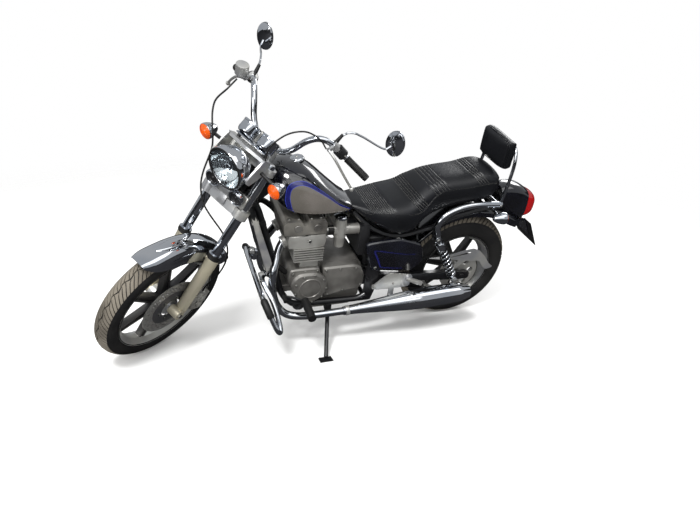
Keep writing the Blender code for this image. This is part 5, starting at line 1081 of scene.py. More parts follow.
def tread(corners, pitches, wave, swing, groove, shoulder, slant):
    """Where each column and row of the tread lies, how deep it is cut, and what is tread at all.

    Rows run across the tyre, as lengths along its profile from the crown, and columns round it.
    """
    top = max(range(len(corners)), key=lambda index: corners[index][0] - abs(corners[index][1]))
    corners = corners[top:] + corners[:top]
    ring = curved([(radius, across, 0.0) for radius, across in corners + corners[:1]], 10)
    line = np.array([(point.x, point.y) for point in ring])
    steps = np.hypot(*np.diff(line, axis=0).T)
    along = np.concatenate([[0.0], np.cumsum(steps)])
    whole = along[-1]
    outside = [shoulder * (2.0 * index / TREAD_ROWS - 1.0) for index in range(TREAD_ROWS + 1)]
    lips = (-GROOVE_LIP, -GROOVE_FLOOR, GROOVE_FLOOR, GROOVE_LIP)
    near = [middle + edge for middle in {groove, -groove} for edge in lips]
    outside = sorted([spot for spot in outside if min(abs(spot - other) for other in near) > 0.0012] + near)
    walls = [shoulder + (whole - 2.0 * shoulder) * index / WALL_ROWS for index in range(1, WALL_ROWS)]
    rows = np.array(outside + walls)
    columns = np.array([(pitch + share) / pitches for pitch in range(pitches) for share in PITCH_COLUMNS])
    turn, row = np.meshgrid(columns * math.tau, rows, indexing="ij")
    phase = np.tile(np.arange(len(PITCH_COLUMNS)), pitches)[:, None]
    inside = np.abs(row) < shoulder
    fade = np.clip(1.0 - np.maximum(0.0, np.abs(np.abs(row) - groove) - 0.004) / 0.010, 0.0, 1.0)
    across = row + np.where(inside, swing * fade * np.cos(wave * turn), 0.0)
    reach = np.clip(np.abs(row) - groove - 0.005, 0.0, None) * inside
    angle = turn + np.where(inside, slant * reach * np.sign(row), 0.0)
    wavy = inside & (np.abs(np.abs(row) - groove) < (GROOVE_FLOOR + GROOVE_LIP) / 2.0)
    beside = (np.abs(row) > groove + 0.0050) & (np.abs(row) < shoulder - 0.002)
    drain = inside & beside & ((phase == 1) | (phase == 2))
    depth = np.where(wavy | drain, GROOVE_DEPTH, 0.0)
    share = np.mod(across, whole)
    radius = np.interp(share, along, line[:, 0])
    side = np.interp(share, along, line[:, 1])
    ahead = np.interp(np.mod(share + PROBE, whole), along, line[:, 1]) - side
    rise = np.interp(np.mod(share + PROBE, whole), along, line[:, 0]) - radius
    size = np.hypot(ahead, rise)
    way = np.sign(np.where(np.abs(row) < shoulder, ahead, 1.0))
    radius = radius - depth * np.abs(ahead) / size
    side = side - depth * -rise / size * np.where(inside, way, 0.0)
    return radius, side, angle, depth, inside


# %% [markdown]
# ## Spinning the tyre
# The profile is spun once with as many steps as the tread has columns, and each vertex is then
# carried to its place in the pattern. Its marks say which faces are road worn tread and which are
# groove floor or wall. The groove floors get the wall's black rubber as painted shade.

# %% Tyre
def tyre(name, node, place, body, pitches, wave, swing, groove, shoulder, slant):
    """A tyre spun from its CAD profile, with wavy grooves at +-groove and slanted ones outside."""
    radius, side, angle, depth, inside = tread(half_profile(node, place), pitches, wave, swing, groove,
                                               shoulder, slant)
    columns, rows = radius.shape
    form = bmesh.new()
    first = [form.verts.new((1.0, 0.0, index)) for index in range(rows)]
    edges = [form.edges.new(pair) for pair in zip(first, first[1:] + first[:1])]
    bmesh.ops.spin(form, geom=first + edges, cent=(0.0, 0.0, 0.0), axis=(0.0, 0.0, 1.0), angle=math.tau,
                   steps=columns, use_merge=True)
    marks = form.verts.layers.int.new("groove")
    for vert in form.verts:
        column = round(math.atan2(vert.co.y, vert.co.x) % math.tau / math.tau * columns) % columns
        index = round(vert.co.z)
        vert[marks] = int(depth[column, index] > 0.0) + 2 * int(not inside[column, index])
        turned_by = angle[column, index]
        vert.co = (radius[column, index] * math.cos(turned_by), radius[column, index] * math.sin(turned_by),
                   side[column, index])
    # groove floors take the dark side wall rubber as painted shade, and the rest of the tread takes the
    # dusty rubber
    for face in form.faces:
        kinds = [vert[marks] for vert in face.verts]
        face.material_index = int(max(kinds) < 2 and min(kinds) == 0)
    bmesh.ops.recalc_face_normals(form, faces=form.faces)
    bmesh.ops.transform(form, matrix=place, verts=form.verts)
    mesh = bpy.data.meshes.new(name)
    form.to_mesh(mesh)
    form.free()
    mesh.materials.append(TYRE)
    mesh.materials.append(TREAD)
    print(name, "faces", len(mesh.polygons), "rows", rows)
    return settled(name, mesh, body, (node,), 30.0)


tyre("front_tyre_rubber", "front_tyre", FRONT_WHEEL, "front_wheel", 90, 30, 0.0045, 0.0, 0.047, 3.4)
tyre("rear_tyre_rubber", "rear_tyre", REAR_WHEEL, "rear_wheel", 72, 24, 0.0040, 0.020, 0.068, 2.6)

# %% [markdown]
# ## Drilled brake disc
# The disc is blanked from steel plate, drilled in staggered rows so that the pads are wiped over
# their whole width, and ground. Cutting 72 holes with a Boolean is slow and leaves bad faces. So
# a ring of small cells is built, each a square round its own hole, and thickened at the end.

# %% Brake disc
DISC_Y = 0.058
DISC_THICK = 0.0048
HOLES = 18
HOLE_R = 0.0042
CORNERS = 16
# columns: inner and outer radius of each row of holes
BAND_ROWS = [(0.098, 0.111), (0.111, 0.124), (0.124, 0.137), (0.137, 0.1497)]
CARRIER = [(0.050, 0.0000), (0.050, 0.0045), (0.088, 0.0045), (0.099, 0.0025), (0.099, -0.0020),
           (0.088, 0.0000), (0.050, 0.0000)]
DISC_BOLTS, DISC_BOLT_RING = 6, 0.064


def drilled(thick, count, rows_of):
    """A flat ring with round holes, made of square cells with a hole in each."""
    form = bmesh.new()
    cell = math.tau / count
    for index in range(count):
        for row, (low, high) in enumerate(rows_of):
            middle = cell * (index + 0.5 * (row % 2))
            ahead = Vector((math.cos(middle), math.sin(middle)))
            beside = Vector((-ahead.y, ahead.x))
            radius = (low + high) / 2.0
            rim, hole = [], []
            for corner in range(CORNERS):
                turn = math.tau * corner / CORNERS
                spot = ahead * (radius + HOLE_R * math.cos(turn)) + beside * HOLE_R * math.sin(turn)
                hole.append(form.verts.new((*spot, 0.0)))
                reach = 1.0 / max(abs(math.cos(turn)), abs(math.sin(turn)))
                out = radius + (high - low) / 2.0 * reach * math.cos(turn)
                swing = middle + reach * math.sin(turn) * cell / 2.0
                rim.append(form.verts.new((out * math.cos(swing), out * math.sin(swing), 0.0)))
            woven(form, [rim, hole])
    bmesh.ops.remove_doubles(form, verts=form.verts, dist=0.00005)
    bmesh.ops.solidify(form, geom=form.faces[:], thickness=thick)
    bmesh.ops.recalc_face_normals(form, faces=form.faces)
    middle = sum((vert.co.z for vert in form.verts), 0.0) / len(form.verts)
    bmesh.ops.translate(form, vec=(0.0, 0.0, -middle), verts=form.verts)
    return form


disc = drilled(DISC_THICK, HOLES, BAND_ROWS)
bmesh.ops.translate(disc, vec=(0.0, 0.0, DISC_Y), verts=disc.verts)
shapes = [(disc, STEEL), (lathe(CARRIER, (0.0, 0.0, DISC_Y), steps=64), SPOKE)]
for index in range(DISC_BOLTS):
    angle = math.tau * index / DISC_BOLTS
    spot = (DISC_BOLT_RING * math.cos(angle), DISC_BOLT_RING * math.sin(angle), DISC_Y + CARRIER[1][1])
    shapes.append((screw_head(spot, UP, 0.0062), ZINC))
gathered("brake_disc_ring", shapes, FRONT_WHEEL, "front_wheel", ("brake_disc",), 30.0)
print("disc holes", HOLES * len(BAND_ROWS))

# %% [markdown]
# ## Seat
# The seat is foam under vinyl. Cross pleats are sewn through the cover, so each row of thread pulls
# a groove into the foam, and the foam swells between them. A welt runs along both sides where the
# top panel meets the skirt. The grooves are cut into the smooth seat as edge loops first, and the
# loops are then pushed in and their neighbours out, the way a sculptor would press them.

# %% Pleats of the seat
# columns: first pleat's place along the machine, pitch, count, lean of the pleat's plane
PLEATS = [(0.601, 0.0098, 11, 0.90), (0.395, 0.0098, 5, 1.10), (0.296, 0.0165, 5, 1.00),
          (0.071, 0.0125, 4, 1.10)]
SEAT_TOP = [(0.665, 0.762), (0.620, 0.766), (0.550, 0.768), (0.460, 0.784), (0.385, 0.800), (0.335, 0.834),
            (0.270, 0.866), (0.180, 0.884), (0.080, 0.894), (0.010, 0.914), (-0.050, 0.912), (-0.092, 0.886)]
WELT = [(0.648, 0.748), (0.600, 0.738), (0.550, 0.738), (0.480, 0.741), (0.400, 0.742), (0.340, 0.748),
        (0.305, 0.770), (0.275, 0.802), (0.235, 0.826), (0.180, 0.838), (0.100, 0.846), (0.030, 0.856),
        (-0.030, 0.862), (-0.072, 0.856)]
GROOVE_HALF = 0.0032
PRESS = 0.0020
SWELL = 0.0006
SEAT_FRONT = 0.66
PLEAT_REACH = 0.06
WELT_FADE = 0.008
WELT_R = 0.0017
FAN_DEGREES, FAN_RAYS = 200.0, 180


def height_of(table, x):
    """Height along a table of (x, z) points whose x falls."""
    return float(np.interp(-x, [-row[0] for row in table], [row[1] for row in table]))


def pleat_planes():
    """Each pleat's plane: a point on the seat's ridge, and its normal."""
    for first, pitch, count, lean in PLEATS:
        for index in range(count):
            x = first - pitch * index
            yield Vector((x, 0.0, height_of(SEAT_TOP, x))), Vector((1.0, 0.0, -lean)).normalized()


seat_mesh = smooth_cage("seat", 60, 2)
form = bmesh.new()
form.from_mesh(seat_mesh)
bmesh.ops.transform(form, matrix=MACHINE.inverted(), verts=form.verts)
planes = list(pleat_planes())
for at, normal in planes:
    for shift in (-GROOVE_HALF, 0.0, GROOVE_HALF):
        near = [face for face in form.faces
                if abs((face.calc_center_median() - at).dot(normal)) < PLEAT_REACH]
        edges = {edge for face in near for edge in face.edges}
        verts = {vert for face in near for vert in face.verts}
        bmesh.ops.bisect_plane(form, geom=near + list(edges) + list(verts), dist=0.00002,
                               plane_co=at + normal * shift, plane_no=normal)
smooth_seat = BVHTree.FromBMesh(form)
form.normal_update()
moves = {}
for vert in form.verts:
    over = vert.co.z - height_of(WELT, vert.co.x) if vert.co.x < SEAT_FRONT else 0.0
    strength = min(1.0, max(0.0, over / WELT_FADE))
    if strength <= 0.0:
        continue
    gap = min(abs((vert.co - at).dot(normal)) for at, normal in planes)
    if gap < 0.0004:
        moves[vert] = -PRESS * strength
    elif gap < GROOVE_HALF * 1.6:
        moves[vert] = SWELL * strength
for vert, shift in moves.items():
    vert.co += vert.normal * shift
print("pleats", len(planes), "moved", len(moves))

# %% [markdown]
# ## Welt and stitches
# Thread shows as short raised dashes, so each stitch is a tiny bent bar. Its path is found by
# casting rays at the seat: in a fan through each pleat's plane, and from the side along the welt.
# Thread that is painted on would vanish at this distance, and a real bar catches the light as the
# real thread does.

# %% Welt and stitches of the seat
def seam_points(route):
    """Points of the seat's surface beside a side-view route, on the left, with their normals."""
    for x, z in route:
        spot, normal, _, _ = smooth_seat.ray_cast(Vector((x, 0.4, z)), Vector((0.0, -1.0, 0.0)))
        if spot:
            yield spot, normal


def stitches(path, length=0.0062, gap=0.0016, radius=0.00048):
    """Short raised stitches along a path of (point, normal)."""
    made, wait = [], 0.0
    for (a, normal), (b, _) in zip(path, path[1:]):
        step = (b - a).length
        while wait < step and step > 0.0:
            start = a + (b - a) * (wait / step)
            way = (b - a).normalized()
            ends = [start, start + way * length * 0.5 + normal * radius * 1.6, start + way * length]
            raised = [end + normal * radius * 0.4 for end in ends]
            made.append(tube(raised, [radius * 0.6, radius, radius * 0.6], 5))
            wait += length + gap
        wait -= step
    return made


shapes = [(form, VINYL)]
threads = []
for at, normal in planes:
    rise = Vector((-normal.z, 0.0, normal.x))
    centre = at - rise * 0.09
    path = []
    for index in range(FAN_RAYS + 1):
        angle = math.radians(FAN_DEGREES * (index / FAN_RAYS - 0.5))
        way = Vector((0.0, math.sin(angle), math.cos(angle)))
        way = (way - normal * way.dot(normal)).normalized()
        start = centre + way * 0.4
        spot, face_normal, _, _ = smooth_seat.ray_cast(start, -way)
        if spot and spot.z > height_of(WELT, spot.x) + 0.003:
            path.append((spot + normal * 0.0024 + face_normal * SWELL, face_normal))
    threads += [(stitch, THREAD) for stitch in stitches(path)]
route = [(point.x, point.y) for point in curved([(x, z, 0.0) for x, z in WELT], 10)]
welt = list(seam_points(route))
for side in (1, -1):
    flipped = [(sided(spot, side), sided(normal, side)) for spot, normal in welt]
    shapes.append((tube([spot + normal * 0.0002 for spot, normal in flipped], WELT_R, 8), VINYL))
    below = [(spot - Vector((0.0, 0.0, 0.0048)) + normal * 0.0003, normal) for spot, normal in flipped]
    threads += [(stitch, THREAD) for stitch in stitches(below)]
seat_cover = gathered("seat_cover", shapes, MACHINE, "chassis", ("seat",), 60.0)
gathered("seat_stitching", threads, MACHINE, "chassis")
print("stitches", len(threads))

# %% [markdown]
# ## Backrest pad
# The pad is a board with foam and vinyl over it, sewn round its edge with a piping cord. Its
# smooth CAD shape is swollen a few millimetres in the middle of its front, as foam swells under a
# stretched cover, and the cord is swept along the rim's rounded rectangle.

# %% Backrest pad
PAD_HALF = (0.118, 0.069)
PAD_MIDDLE = 0.991
PAD_FRONT = -0.100
PAD_SWELL = 0.0035
PIPING_X, PIPING_HALF, PIPING_R = -0.080, (0.1185, 0.0695), 0.0019
PIPING_STEPS = 96
SQUARENESS = 5
form = bmesh.new()
form.from_mesh(smooth_cage("backrest_pad", 80, 3))
bmesh.ops.transform(form, matrix=MACHINE.inverted(), verts=form.verts)
for vert in form.verts:
    rim = max(abs(vert.co.y) / PAD_HALF[0], abs(vert.co.z - PAD_MIDDLE) / PAD_HALF[1])
    if vert.co.x > PAD_FRONT:
        vert.co.x += PAD_SWELL * (1.0 - min(1.0, rim) ** 3)
piping = []
for index in range(PIPING_STEPS + 1):
    angle = math.tau * index / PIPING_STEPS
    across, rise = math.cos(angle), math.sin(angle)
    share = (abs(across) ** SQUARENESS + abs(rise) ** SQUARENESS) ** (-1.0 / SQUARENESS)
    piping.append((PIPING_X, PIPING_HALF[0] * share * across, PAD_MIDDLE + PIPING_HALF[1] * share * rise))
shapes = [(form, VINYL), (tube(piping, PIPING_R, 8), VINYL)]
pad = gathered("backrest_cushion", shapes, MACHINE, "chassis", ("backrest_pad",), 60.0)
print("pad faces", len(pad.data.polygons))

# %% [markdown]
# ## Painted panels and stripes
# The tank's side panel is masked and sprayed in taupe, edged by a blue band with paler pinstripes,
# under the clear coat. Each patch is laid on the enamel's own surface, a film's thickness out.

# %% Paint patches
FILM = 0.0005
# the band's blue let down with white: it shows as a thin paler line along each edge
PALE_BLUE = finish("pale_blue_pinstripe", "#22308A", 0.22, 0.0, grain=0.004, spread=0.04, Coat_Weight=0.8,
                   Coat_Roughness=0.05)


def loop_of(points, steps=10):
    """A smooth closed loop of (x, z) points."""
    count = len(points)
    spots = [Vector(points[index % count]) for index in range(-1, count + 2)]
    return [passing(a, b, c, d, index / steps) for a, b, c, d in zip(spots, spots[1:], spots[2:], spots[3:])
            for index in range(steps)]


def tree_of(piece, place=MACHINE):
    """A search tree of a piece's surface in a local frame."""
    form = bmesh.new()
    form.from_mesh(piece.data)
    bmesh.ops.transform(form, matrix=place.inverted(), verts=form.verts)
    tree = BVHTree.FromBMesh(form)
    form.free()
    return tree


def laid(tree, rings, side, closed_middle=False, wrap=True):
    """Rings, or open rows, of (x, z) points laid on a surface from the side as one film."""
    form = bmesh.new()
    rows = []
    for ring in rings:
        row = []
        for x, z in ring:
            spot, normal, _, _ = tree.ray_cast(Vector((x, side * 0.4, z)), Vector((0.0, -side, 0.0)))
            if spot is None:
                spot, normal, _, _ = tree.find_nearest(Vector((x, side * 0.12, z)))
            row.append(form.verts.new(spot + normal * FILM))
        rows.append(row)
    woven(form, rows, wrap)
    if closed_middle:
        form.faces.new(rows[0])
    faced(form, Vector((0.0, side, 0.0)))
    return form


def rings_between(inner, outer, count):
    """Evenly spaced rings from one loop of (x, z) points to another."""
    return [[a.lerp(b, index / count) for a, b in zip(inner, outer)] for index in range(count + 1)]


print("film in mm", 1000 * FILM)

# %% [markdown]
# ## Tank panel and band
# On the real tank the panel is masked and sprayed. A texture would need an unwrapped tank, and its
# edge would blur, so the outline is drawn in side view and laid on the metal by casting rays from
# the side. The band is the space between two outlines, with a pale line along each edge.

# %% Tank panel and blue band
PANEL = [(0.9729, 0.8537), (0.9655, 0.8797), (0.9405, 0.8945), (0.9069, 0.8925), (0.8671, 0.8740),
         (0.8065, 0.8340), (0.7396, 0.7838), (0.6850, 0.7520), (0.7403, 0.7480), (0.8127, 0.7485),
         (0.8893, 0.7530), (0.9450, 0.7660), (0.9632, 0.7943), (0.9723, 0.8312)]
BAND = [(0.9923, 0.8439), (0.9851, 0.8845), (0.9620, 0.9070), (0.9200, 0.9120), (0.8740, 0.8930),
        (0.8080, 0.8465), (0.7390, 0.7910), (0.6815, 0.7535), (0.7400, 0.7455), (0.8127, 0.7450),
        (0.8893, 0.7485), (0.9530, 0.7600), (0.9800, 0.7880), (0.9915, 0.8180)]
EDGE = 0.09
PANEL_RINGS = 14
CORE = 0.04
inner, outer = loop_of(PANEL), loop_of(BAND)
middle = sum(inner, Vector((0.0, 0.0))) / len(inner)
edge_in = [a.lerp(b, EDGE) for a, b in zip(inner, outer)]
edge_out = [a.lerp(b, 1.0 - EDGE) for a, b in zip(inner, outer)]
shares = [CORE + (1.0 - CORE) * ring / PANEL_RINGS for ring in range(PANEL_RINGS + 1)]
fan = [[middle.lerp(point, share) for point in inner] for share in shares]
tank_tree = tree_of(SKIN["fuel_tank"])
shapes = []
for side in (1, -1):
    shapes += [(laid(tank_tree, fan, side, True), TAUPE),
               (laid(tank_tree, rings_between(inner, edge_in, 1), side), PALE_BLUE),
               (laid(tank_tree, rings_between(edge_in, edge_out, 3), side), BLUE),
               (laid(tank_tree, rings_between(edge_out, outer, 1), side), PALE_BLUE)]
gathered("tank_paint", shapes, MACHINE, "chassis", (), 60.0)
print("panel length in mm", round(1000 * (PANEL[0][0] - PANEL[7][0])))

# %% [markdown]
# ## Filler cap
# The filler cap is a plated disc with a rounded rim and a lock in its middle. Two lathe profiles,
# tilted to the tank's ridge, are all it needs.

# %% Filler cap
FILLER_AT, FILLER_WAY = (0.915, 0.0, 0.957), (0.18, 0.0, 1.0)
FILLER = [(0.0, 0.0118), (0.018, 0.0116), (0.0255, 0.0106), (0.0290, 0.0086), (0.0312, 0.0040),
          (0.0330, 0.0010), (0.0330, -0.003)]
LOCK = [(0.0, 0.0130), (0.0055, 0.0130), (0.0065, 0.0118), (0.0, 0.0118)]
shapes = [(lathe(FILLER, FILLER_AT, FILLER_WAY, 64), CHROME),
          (lathe(LOCK, FILLER_AT, FILLER_WAY, 24), STEEL)]
gathered("filler_cap", shapes, MACHINE, "chassis")
print("filler cap across in mm", round(2000 * FILLER[-1][0]))

# %% [markdown]
# ## Side cover stripes
# A thin blue line with thick and thin parts is painted on each side cover with a long brush. Its
# middle line and its width are drawn in side view, and the two edges are laid on the cover as an
# open film.

# %% Side cover pinstripe
# columns: place along the machine, height, width of the stripe
STRIPE = [(0.325, 0.5070, 0.0016), (0.392, 0.5135, 0.0024), (0.470, 0.5310, 0.0030),
          (0.540, 0.5465, 0.0046), (0.5495, 0.5400, 0.0075), (0.530, 0.4970, 0.0085),
          (0.512, 0.4560, 0.0070), (0.500, 0.4465, 0.0045), (0.440, 0.4360, 0.0030),
          (0.385, 0.4290, 0.0016)]
path = curved([(x, z, 0.0) for x, z, _ in STRIPE], 10)
width = curved([(w, 0.0, 0.0) for _, _, w in STRIPE], 10)
edges = ([], [])
for index, point in enumerate(path):
    way = path[min(index + 1, len(path) - 1)] - path[max(index - 1, 0)]
    across = Vector((-way.y, way.x)).normalized() * width[index].x / 2.0
    edges[0].append(point.xy + across)
    edges[1].append(point.xy - across)
shapes = [(laid(tree_of(SKIN[f"side_cover_{hand}"]), edges, side, wrap=False), BLUE)
          for hand, side in LEFT_RIGHT.items()]
gathered("side_cover_stripes", shapes, MACHINE, "chassis", (), 60.0)
print("stripe points", len(path))

# %% [markdown]
# ## Raised oval on the mudguard
# A long oval is pressed out of the mudguard's crown ahead of the fork, and rivets hold the stay
# behind it. Displacing the crown itself would need a far finer mesh there, so the oval is a
# shallow dome of its own whose rim sinks just under the metal.

# %% Raised oval on the front mudguard
OVAL_AT = math.radians(66.0)
OVAL_HALF = (0.215, 0.024)
OVAL_RISE = 0.0060
OVAL_SUNK = 0.0003
OVAL_RINGS, OVAL_STEPS = 12, 72
AXLE = Vector((0.078, 0.0, 0.0))
RIVET = [(0.0, 0.0022), (0.0024, 0.0020), (0.0042, 0.0008), (0.0046, -0.0005)]
RIVET_TURNS, RIVET_Y = (96.0, 104.0), 0.030
guard_tree = tree_of(SKIN["front_mudguard"], FORK)


def on_guard(turn, across, lift=0.0):
    """A point over the mudguard's crown, in the fork's frame."""
    way = Vector((math.cos(turn), 0.0, math.sin(turn)))
    spot, _, _, _ = guard_tree.ray_cast(AXLE + way * 0.5 + Vector((0.0, across, 0.0)), -way)
    return spot + way * lift


form = bmesh.new()
rows = []
for ring in range(OVAL_RINGS + 1):
    share = ring / OVAL_RINGS
    reach = max(share, 0.01)
    lift = OVAL_RISE * (1.0 - share ** 8) - OVAL_SUNK
    turns = [math.tau * step / OVAL_STEPS for step in range(OVAL_STEPS)]
    rows.append([form.verts.new(on_guard(OVAL_AT + OVAL_HALF[0] * reach * math.cos(turn),
                                         OVAL_HALF[1] * reach * math.sin(turn), lift)) for turn in turns])
woven(form, rows)
form.faces.new(rows[0])
faced(form, rows[0][0].co - AXLE)
shapes = [(form, CHROME)]
for turn in RIVET_TURNS:
    for across in (RIVET_Y, -RIVET_Y):
        spot = on_guard(math.radians(turn), across)
        shapes.append((lathe(RIVET, spot, spot - AXLE, 20), CHROME))
gathered("mudguard_oval", shapes, FORK, "steering")
print("oval across in mm", round(2000 * OVAL_HALF[1]))

# %% [markdown]
# ## Hoses and bolts on the frame
# Two rubber hoses join the radiator to the engine, and follow a smooth curve through a few points,
# as a hose lies between its clips. The pivot bolts, the rear axle's nuts and the plate's screws
# are small, but castings and tubes look bare without them.

# %% Hoses and bolts on the frame
# columns: route, radius
HOSES = [([(1.080, -0.105, 0.700), (1.050, -0.110, 0.712), (1.010, -0.100, 0.690), (0.985, -0.060, 0.672),
           (0.978, -0.020, 0.660)], 0.014),
         ([(1.035, 0.110, 0.498), (1.010, 0.112, 0.478), (0.990, 0.108, 0.455), (0.975, 0.105, 0.440)],
          0.013)]
# columns: place along the machine, height, radius
FRAME_BOLTS = [(0.536, 0.446, 0.0085), (0.524, 0.322, 0.0085), (0.420, 0.335, 0.0060)]
FRAME_BOLT_Y = 0.1525
REAR_NUT = [(0.0, 0.010), (0.009, 0.010), (0.013, 0.007), (0.013, 0.002), (0.017, 0.001), (0.017, 0.0)]
PLATE = Matrix.Translation((-0.378, 0.0, 0.590)) @ Matrix.Rotation(math.radians(30.0), 4, "Y")
PLATE_SCREWS = [(-0.0023, 0.055, -0.022), (-0.0023, 0.055, -0.148)]
plate_back = PLATE.to_3x3() @ Vector((-1.0, 0.0, 0.0))
shapes = [(tube(curved(route, 8), radius, 20), RUBBER) for route, radius in HOSES]
for side in (1, -1):
    out = (0.0, side, 0.0)
    shapes += [(hex_head((x, side * FRAME_BOLT_Y, z), out, radius), ZINC) for x, z, radius in FRAME_BOLTS]
    shapes.append((lathe(REAR_NUT, (0.0, side * 0.1235, REAR_R), out, 6), ZINC))
    shapes += [(screw_head(PLATE @ sided(spot, side), plate_back, 0.0042), ZINC) for spot in PLATE_SCREWS]
gathered("small_fittings", shapes, MACHINE, "chassis")
print("hoses", len(HOSES))

# %% [markdown]
# ## Fittings on the fork
# The front axle's nuts, the caps of the fork tubes, the caliper's piston caps and bolts and the
# cap of the brake fluid all turn with the fork. So they are a piece of their own, made like the
# fittings of the frame but riding on the steering body.

# %% Fittings on the fork
AXLE_NUT = [(0.0, 0.008), (0.008, 0.008), (0.0115, 0.006), (0.0115, 0.0), (0.0, 0.0)]
FORK_CAP = [(0.0, 0.0042), (0.011, 0.0042), (0.014, 0.0032), (0.0165, 0.0), (0.0, 0.0)]
CALIPER_CAP = [(0.0, 0.0022), (0.0125, 0.0022), (0.0140, 0.0012), (0.0145, 0.0), (0.0, 0.0)]
FLUID_CAP = [(0.0, 0.0045), (0.024, 0.0045), (0.027, 0.003), (0.0275, 0.0), (0.0, 0.0)]
FLUID_FOOT, FLUID_HIGH = Vector((-0.004, -0.262, 1.012)), 0.0400
LEFT_WAY = (0.0, 1.0, 0.0)
level_up = Vector((math.sin(RAKE), 0.0, math.cos(RAKE)))
shapes = []
for side in (1, -1):
    shapes += [(lathe(AXLE_NUT, (AXLE.x, side * 0.122, 0.0), (0.0, side, 0.0), 6), ZINC),
               (lathe(FORK_CAP, (0.047, side * 0.094, 0.8158), steps=32), BRIGHT)]
shapes += [(lathe(CALIPER_CAP, (-0.068, 0.103, w), LEFT_WAY, 36), CAST) for w in (0.022, 0.062)]
shapes += [(hex_head((u, 0.0950, 0.042), LEFT_WAY, 0.0065), ZINC) for u in (-0.096, -0.040)]
shapes.append((lathe(FLUID_CAP, FLUID_FOOT + level_up * FLUID_HIGH, level_up, 40), BRIGHT))
gathered("fork_fittings", shapes, FORK, "steering")

# %% [markdown]
# ## Floor
# The machine stands on a plain pale floor, which fades to the white behind it, so that no horizon
# shows. Reflections see the floor as dark asphalt, since that is what the plating of a parked
# machine mirrors. One material does both: it mixes by distance, and then by the kind of ray.

# %% Floor
FADE = (2.2, 4.5)
FLOOR_HALF = 60.0


def sheet(name, material, half, turn=Matrix()):
    """A flat square that belongs to the stage and not to the machine."""
    form = bmesh.new()
    bmesh.ops.create_grid(form, x_segments=1, y_segments=1, size=half)
    bmesh.ops.transform(form, matrix=turn, verts=form.verts)
    mesh = bpy.data.meshes.new(name)
    form.to_mesh(mesh)
    form.free()
    mesh.materials.append(material)
    made = bpy.data.objects.new(name, mesh)
    bpy.context.scene.collection.objects.link(made)
    made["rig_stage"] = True
    return made


# white painted studio floor: matt, so that only a soft shadow falls on it
PALE = finish("pale_studio_floor", "#F4F4F3", 0.80, 0.0, grain=0.3, spread=0.05)
tree = PALE.node_tree
place = add(tree, "TexCoord")
far = add(tree, "VectorMath", {"operation": "LENGTH"}, {0: place.outputs["Object"]})
fade = add(tree, "MapRange", {"interpolation_type": "SMOOTHSTEP", "From Min": FADE[0], "From Max": FADE[1]},
           {"Value": far.outputs["Value"]})
clear = add(tree, "BsdfTransparent")
asphalt = add(tree, "BsdfDiffuse", {"Color": paint("#323234")})
rays = add(tree, "LightPath")
plain = tree.nodes["Principled BSDF"]
paler = add(tree, "MixShader", {},
            {0: fade.outputs["Result"], 1: plain.outputs["BSDF"], 2: clear.outputs["BSDF"]})
shown = add(tree, "MixShader", {},
            {0: rays.outputs["Is Glossy Ray"], 1: paler.outputs["Shader"], 2: asphalt.outputs["BSDF"]})
tree.links.new(shown.outputs["Shader"], tree.nodes["Material Output"].inputs["Surface"])
sheet("floor", PALE, FLOOR_HALF)
print("floor fades between", FADE, "m")

# %% [markdown]
# ## World, lamps and cards
# The world is white to the camera, softer as light, and dimmer still in reflections, or the blacks
# would wash out. Chrome shows only what is round it. So wide lamps stand where a bright sky would
# be and dark cards where the surroundings would be, as a studio photographer sets them, and
# together they give the plating its black and white bands. The cards show in reflections and never
# to the camera.

# %% World and lamps
AMBIENT = 0.78
MIRRORED = 0.50
WHITE_LIGHT = (1.0, 1.0, 1.0, 1.0)
SKY_LIGHT = (0.93, 0.96, 1.0, 1.0)
world = bpy.data.worlds.new("studio")
bpy.context.scene.world = world
world.use_nodes = True
sky = world.node_tree
backdrop = sky.nodes["Background"]
backdrop.inputs["Color"].default_value = WHITE_LIGHT
backdrop.inputs["Strength"].default_value = 1.0
rays = add(sky, "LightPath")
seen = add(sky, "Math", {"operation": "ADD"},
           {0: rays.outputs["Is Camera Ray"], 1: rays.outputs["Is Transmission Ray"]})
soft = add(sky, "Background", {"Color": WHITE_LIGHT, "Strength": AMBIENT})
dim = add(sky, "Background", {"Color": SKY_LIGHT, "Strength": MIRRORED})
unseen = add(sky, "MixShader", {},
             {0: rays.outputs["Is Glossy Ray"], 1: soft.outputs["Background"], 2: dim.outputs["Background"]})
blend = add(sky, "MixShader", {},
            {0: seen.outputs["Value"], 1: unseen.outputs["Shader"], 2: backdrop.outputs["Background"]})
sky.links.new(blend.outputs["Shader"], sky.nodes["World Output"].inputs["Surface"])
STAGE_MIDDLE = Vector((0.0, 0.0, 0.6))
# columns: name, place, size, power in watts
LAMPS = [("key", (1.8, 2.2, 4.0), (1.0, 1.0), 190.0), ("sky_side", (0.6, 4.2, 3.0), (5.0, 1.6), 34.0),
         ("sky_high", (-0.9, 2.6, 4.4), (5.0, 2.4), 60.0), ("fill", (3.6, 2.6, 1.8), (2.0, 1.2), 25.0),
         ("rim", (-3.2, -2.2, 2.8), (2.0, 1.2), 50.0)]
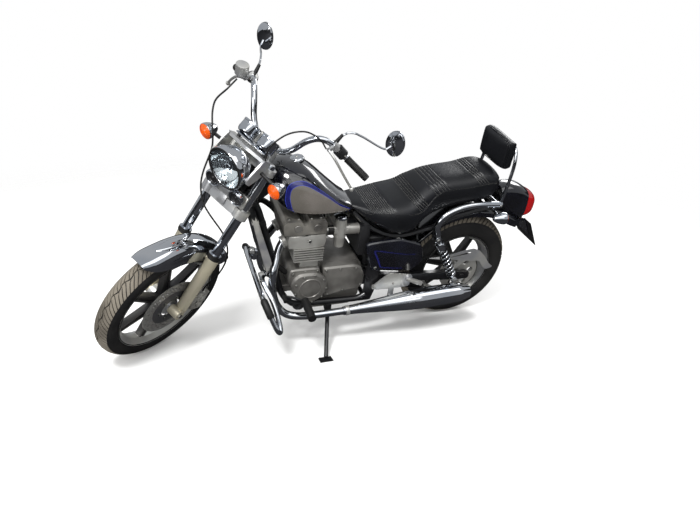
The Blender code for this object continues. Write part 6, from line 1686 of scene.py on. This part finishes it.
# columns: name, place, size
CARDS = [("card_side", (1.0, 5.0, 0.7), (6.0, 0.5)), ("card_front", (5.0, 0.5, 1.0), (4.0, 1.0)),
         ("card_back", (-5.0, -1.0, 1.2), (5.0, 1.4)), ("card_far", (0.0, -5.0, 1.2), (6.0, 1.3))]
# black paper: dark and matt, so that it shows in the plating as a plain band
CARD = finish("dark_card", "#17181A", 0.9, 0.0, grain=0.5, spread=0.05)


def looking(at, axis):
    """The matrix of a thing at a place whose axis points to the middle of the stage."""
    way = STAGE_MIDDLE - Vector(at)
    return Matrix.Translation(at) @ way.to_track_quat(axis, "Y").to_matrix().to_4x4()


for name, at, size, power in LAMPS:
    data = bpy.data.lights.new(name, "AREA")
    data.shape = "RECTANGLE"
    data.size, data.size_y = size
    data.energy = power
    lamp = bpy.data.objects.new(name, data)
    bpy.context.scene.collection.objects.link(lamp)
    lamp.matrix_world = looking(at, "-Z")
for name, at, size in CARDS:
    card = sheet(name, CARD, 0.5, looking(at, "Z") @ Matrix.Diagonal((*size, 1.0, 1.0)))
    card.visible_camera = card.visible_shadow = card.visible_diffuse = False
print("lamps", len(LAMPS), "cards", len(CARDS))

# %% [markdown]
# ## Camera
# The camera was fitted to the photograph: its place is given in the machine's own frame, and a
# shift of the lens stands for the crop of the picture.

# %% Camera
CAMERA_AT = (1.52198, 2.21532, 1.94652)
CAMERA_TURN = (61.507, -3.461, 158.767)
LENS = 28.244
LENS_SHIFT = (-0.02959, 0.07987)
camera_data = bpy.data.cameras.new("camera")
camera_data.sensor_width = 36.0
camera_data.lens = LENS
camera_data.shift_x, camera_data.shift_y = LENS_SHIFT
camera = bpy.data.objects.new("camera", camera_data)
bpy.context.scene.collection.objects.link(camera)
camera.location = MACHINE @ Vector(CAMERA_AT)
camera.rotation_euler = [math.radians(angle) for angle in CAMERA_TURN]
bpy.context.scene.camera = camera
bpy.context.scene.view_settings.view_transform = "Standard"
print("lens in mm", LENS)

# %% [markdown]
# ## Sizes
# A dressed part must keep the size of its CAD part, so both boxes are measured and the growth is
# printed before the scene is closed.

# %% Sizes and the end
low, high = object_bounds()
{"cad": [list(cad_low), list(cad_high)], "visual": [list(low), list(high)]}
print("growth in mm", [round(1000 * side, 1) for side in (*(cad_low - low), *(high - cad_high))])
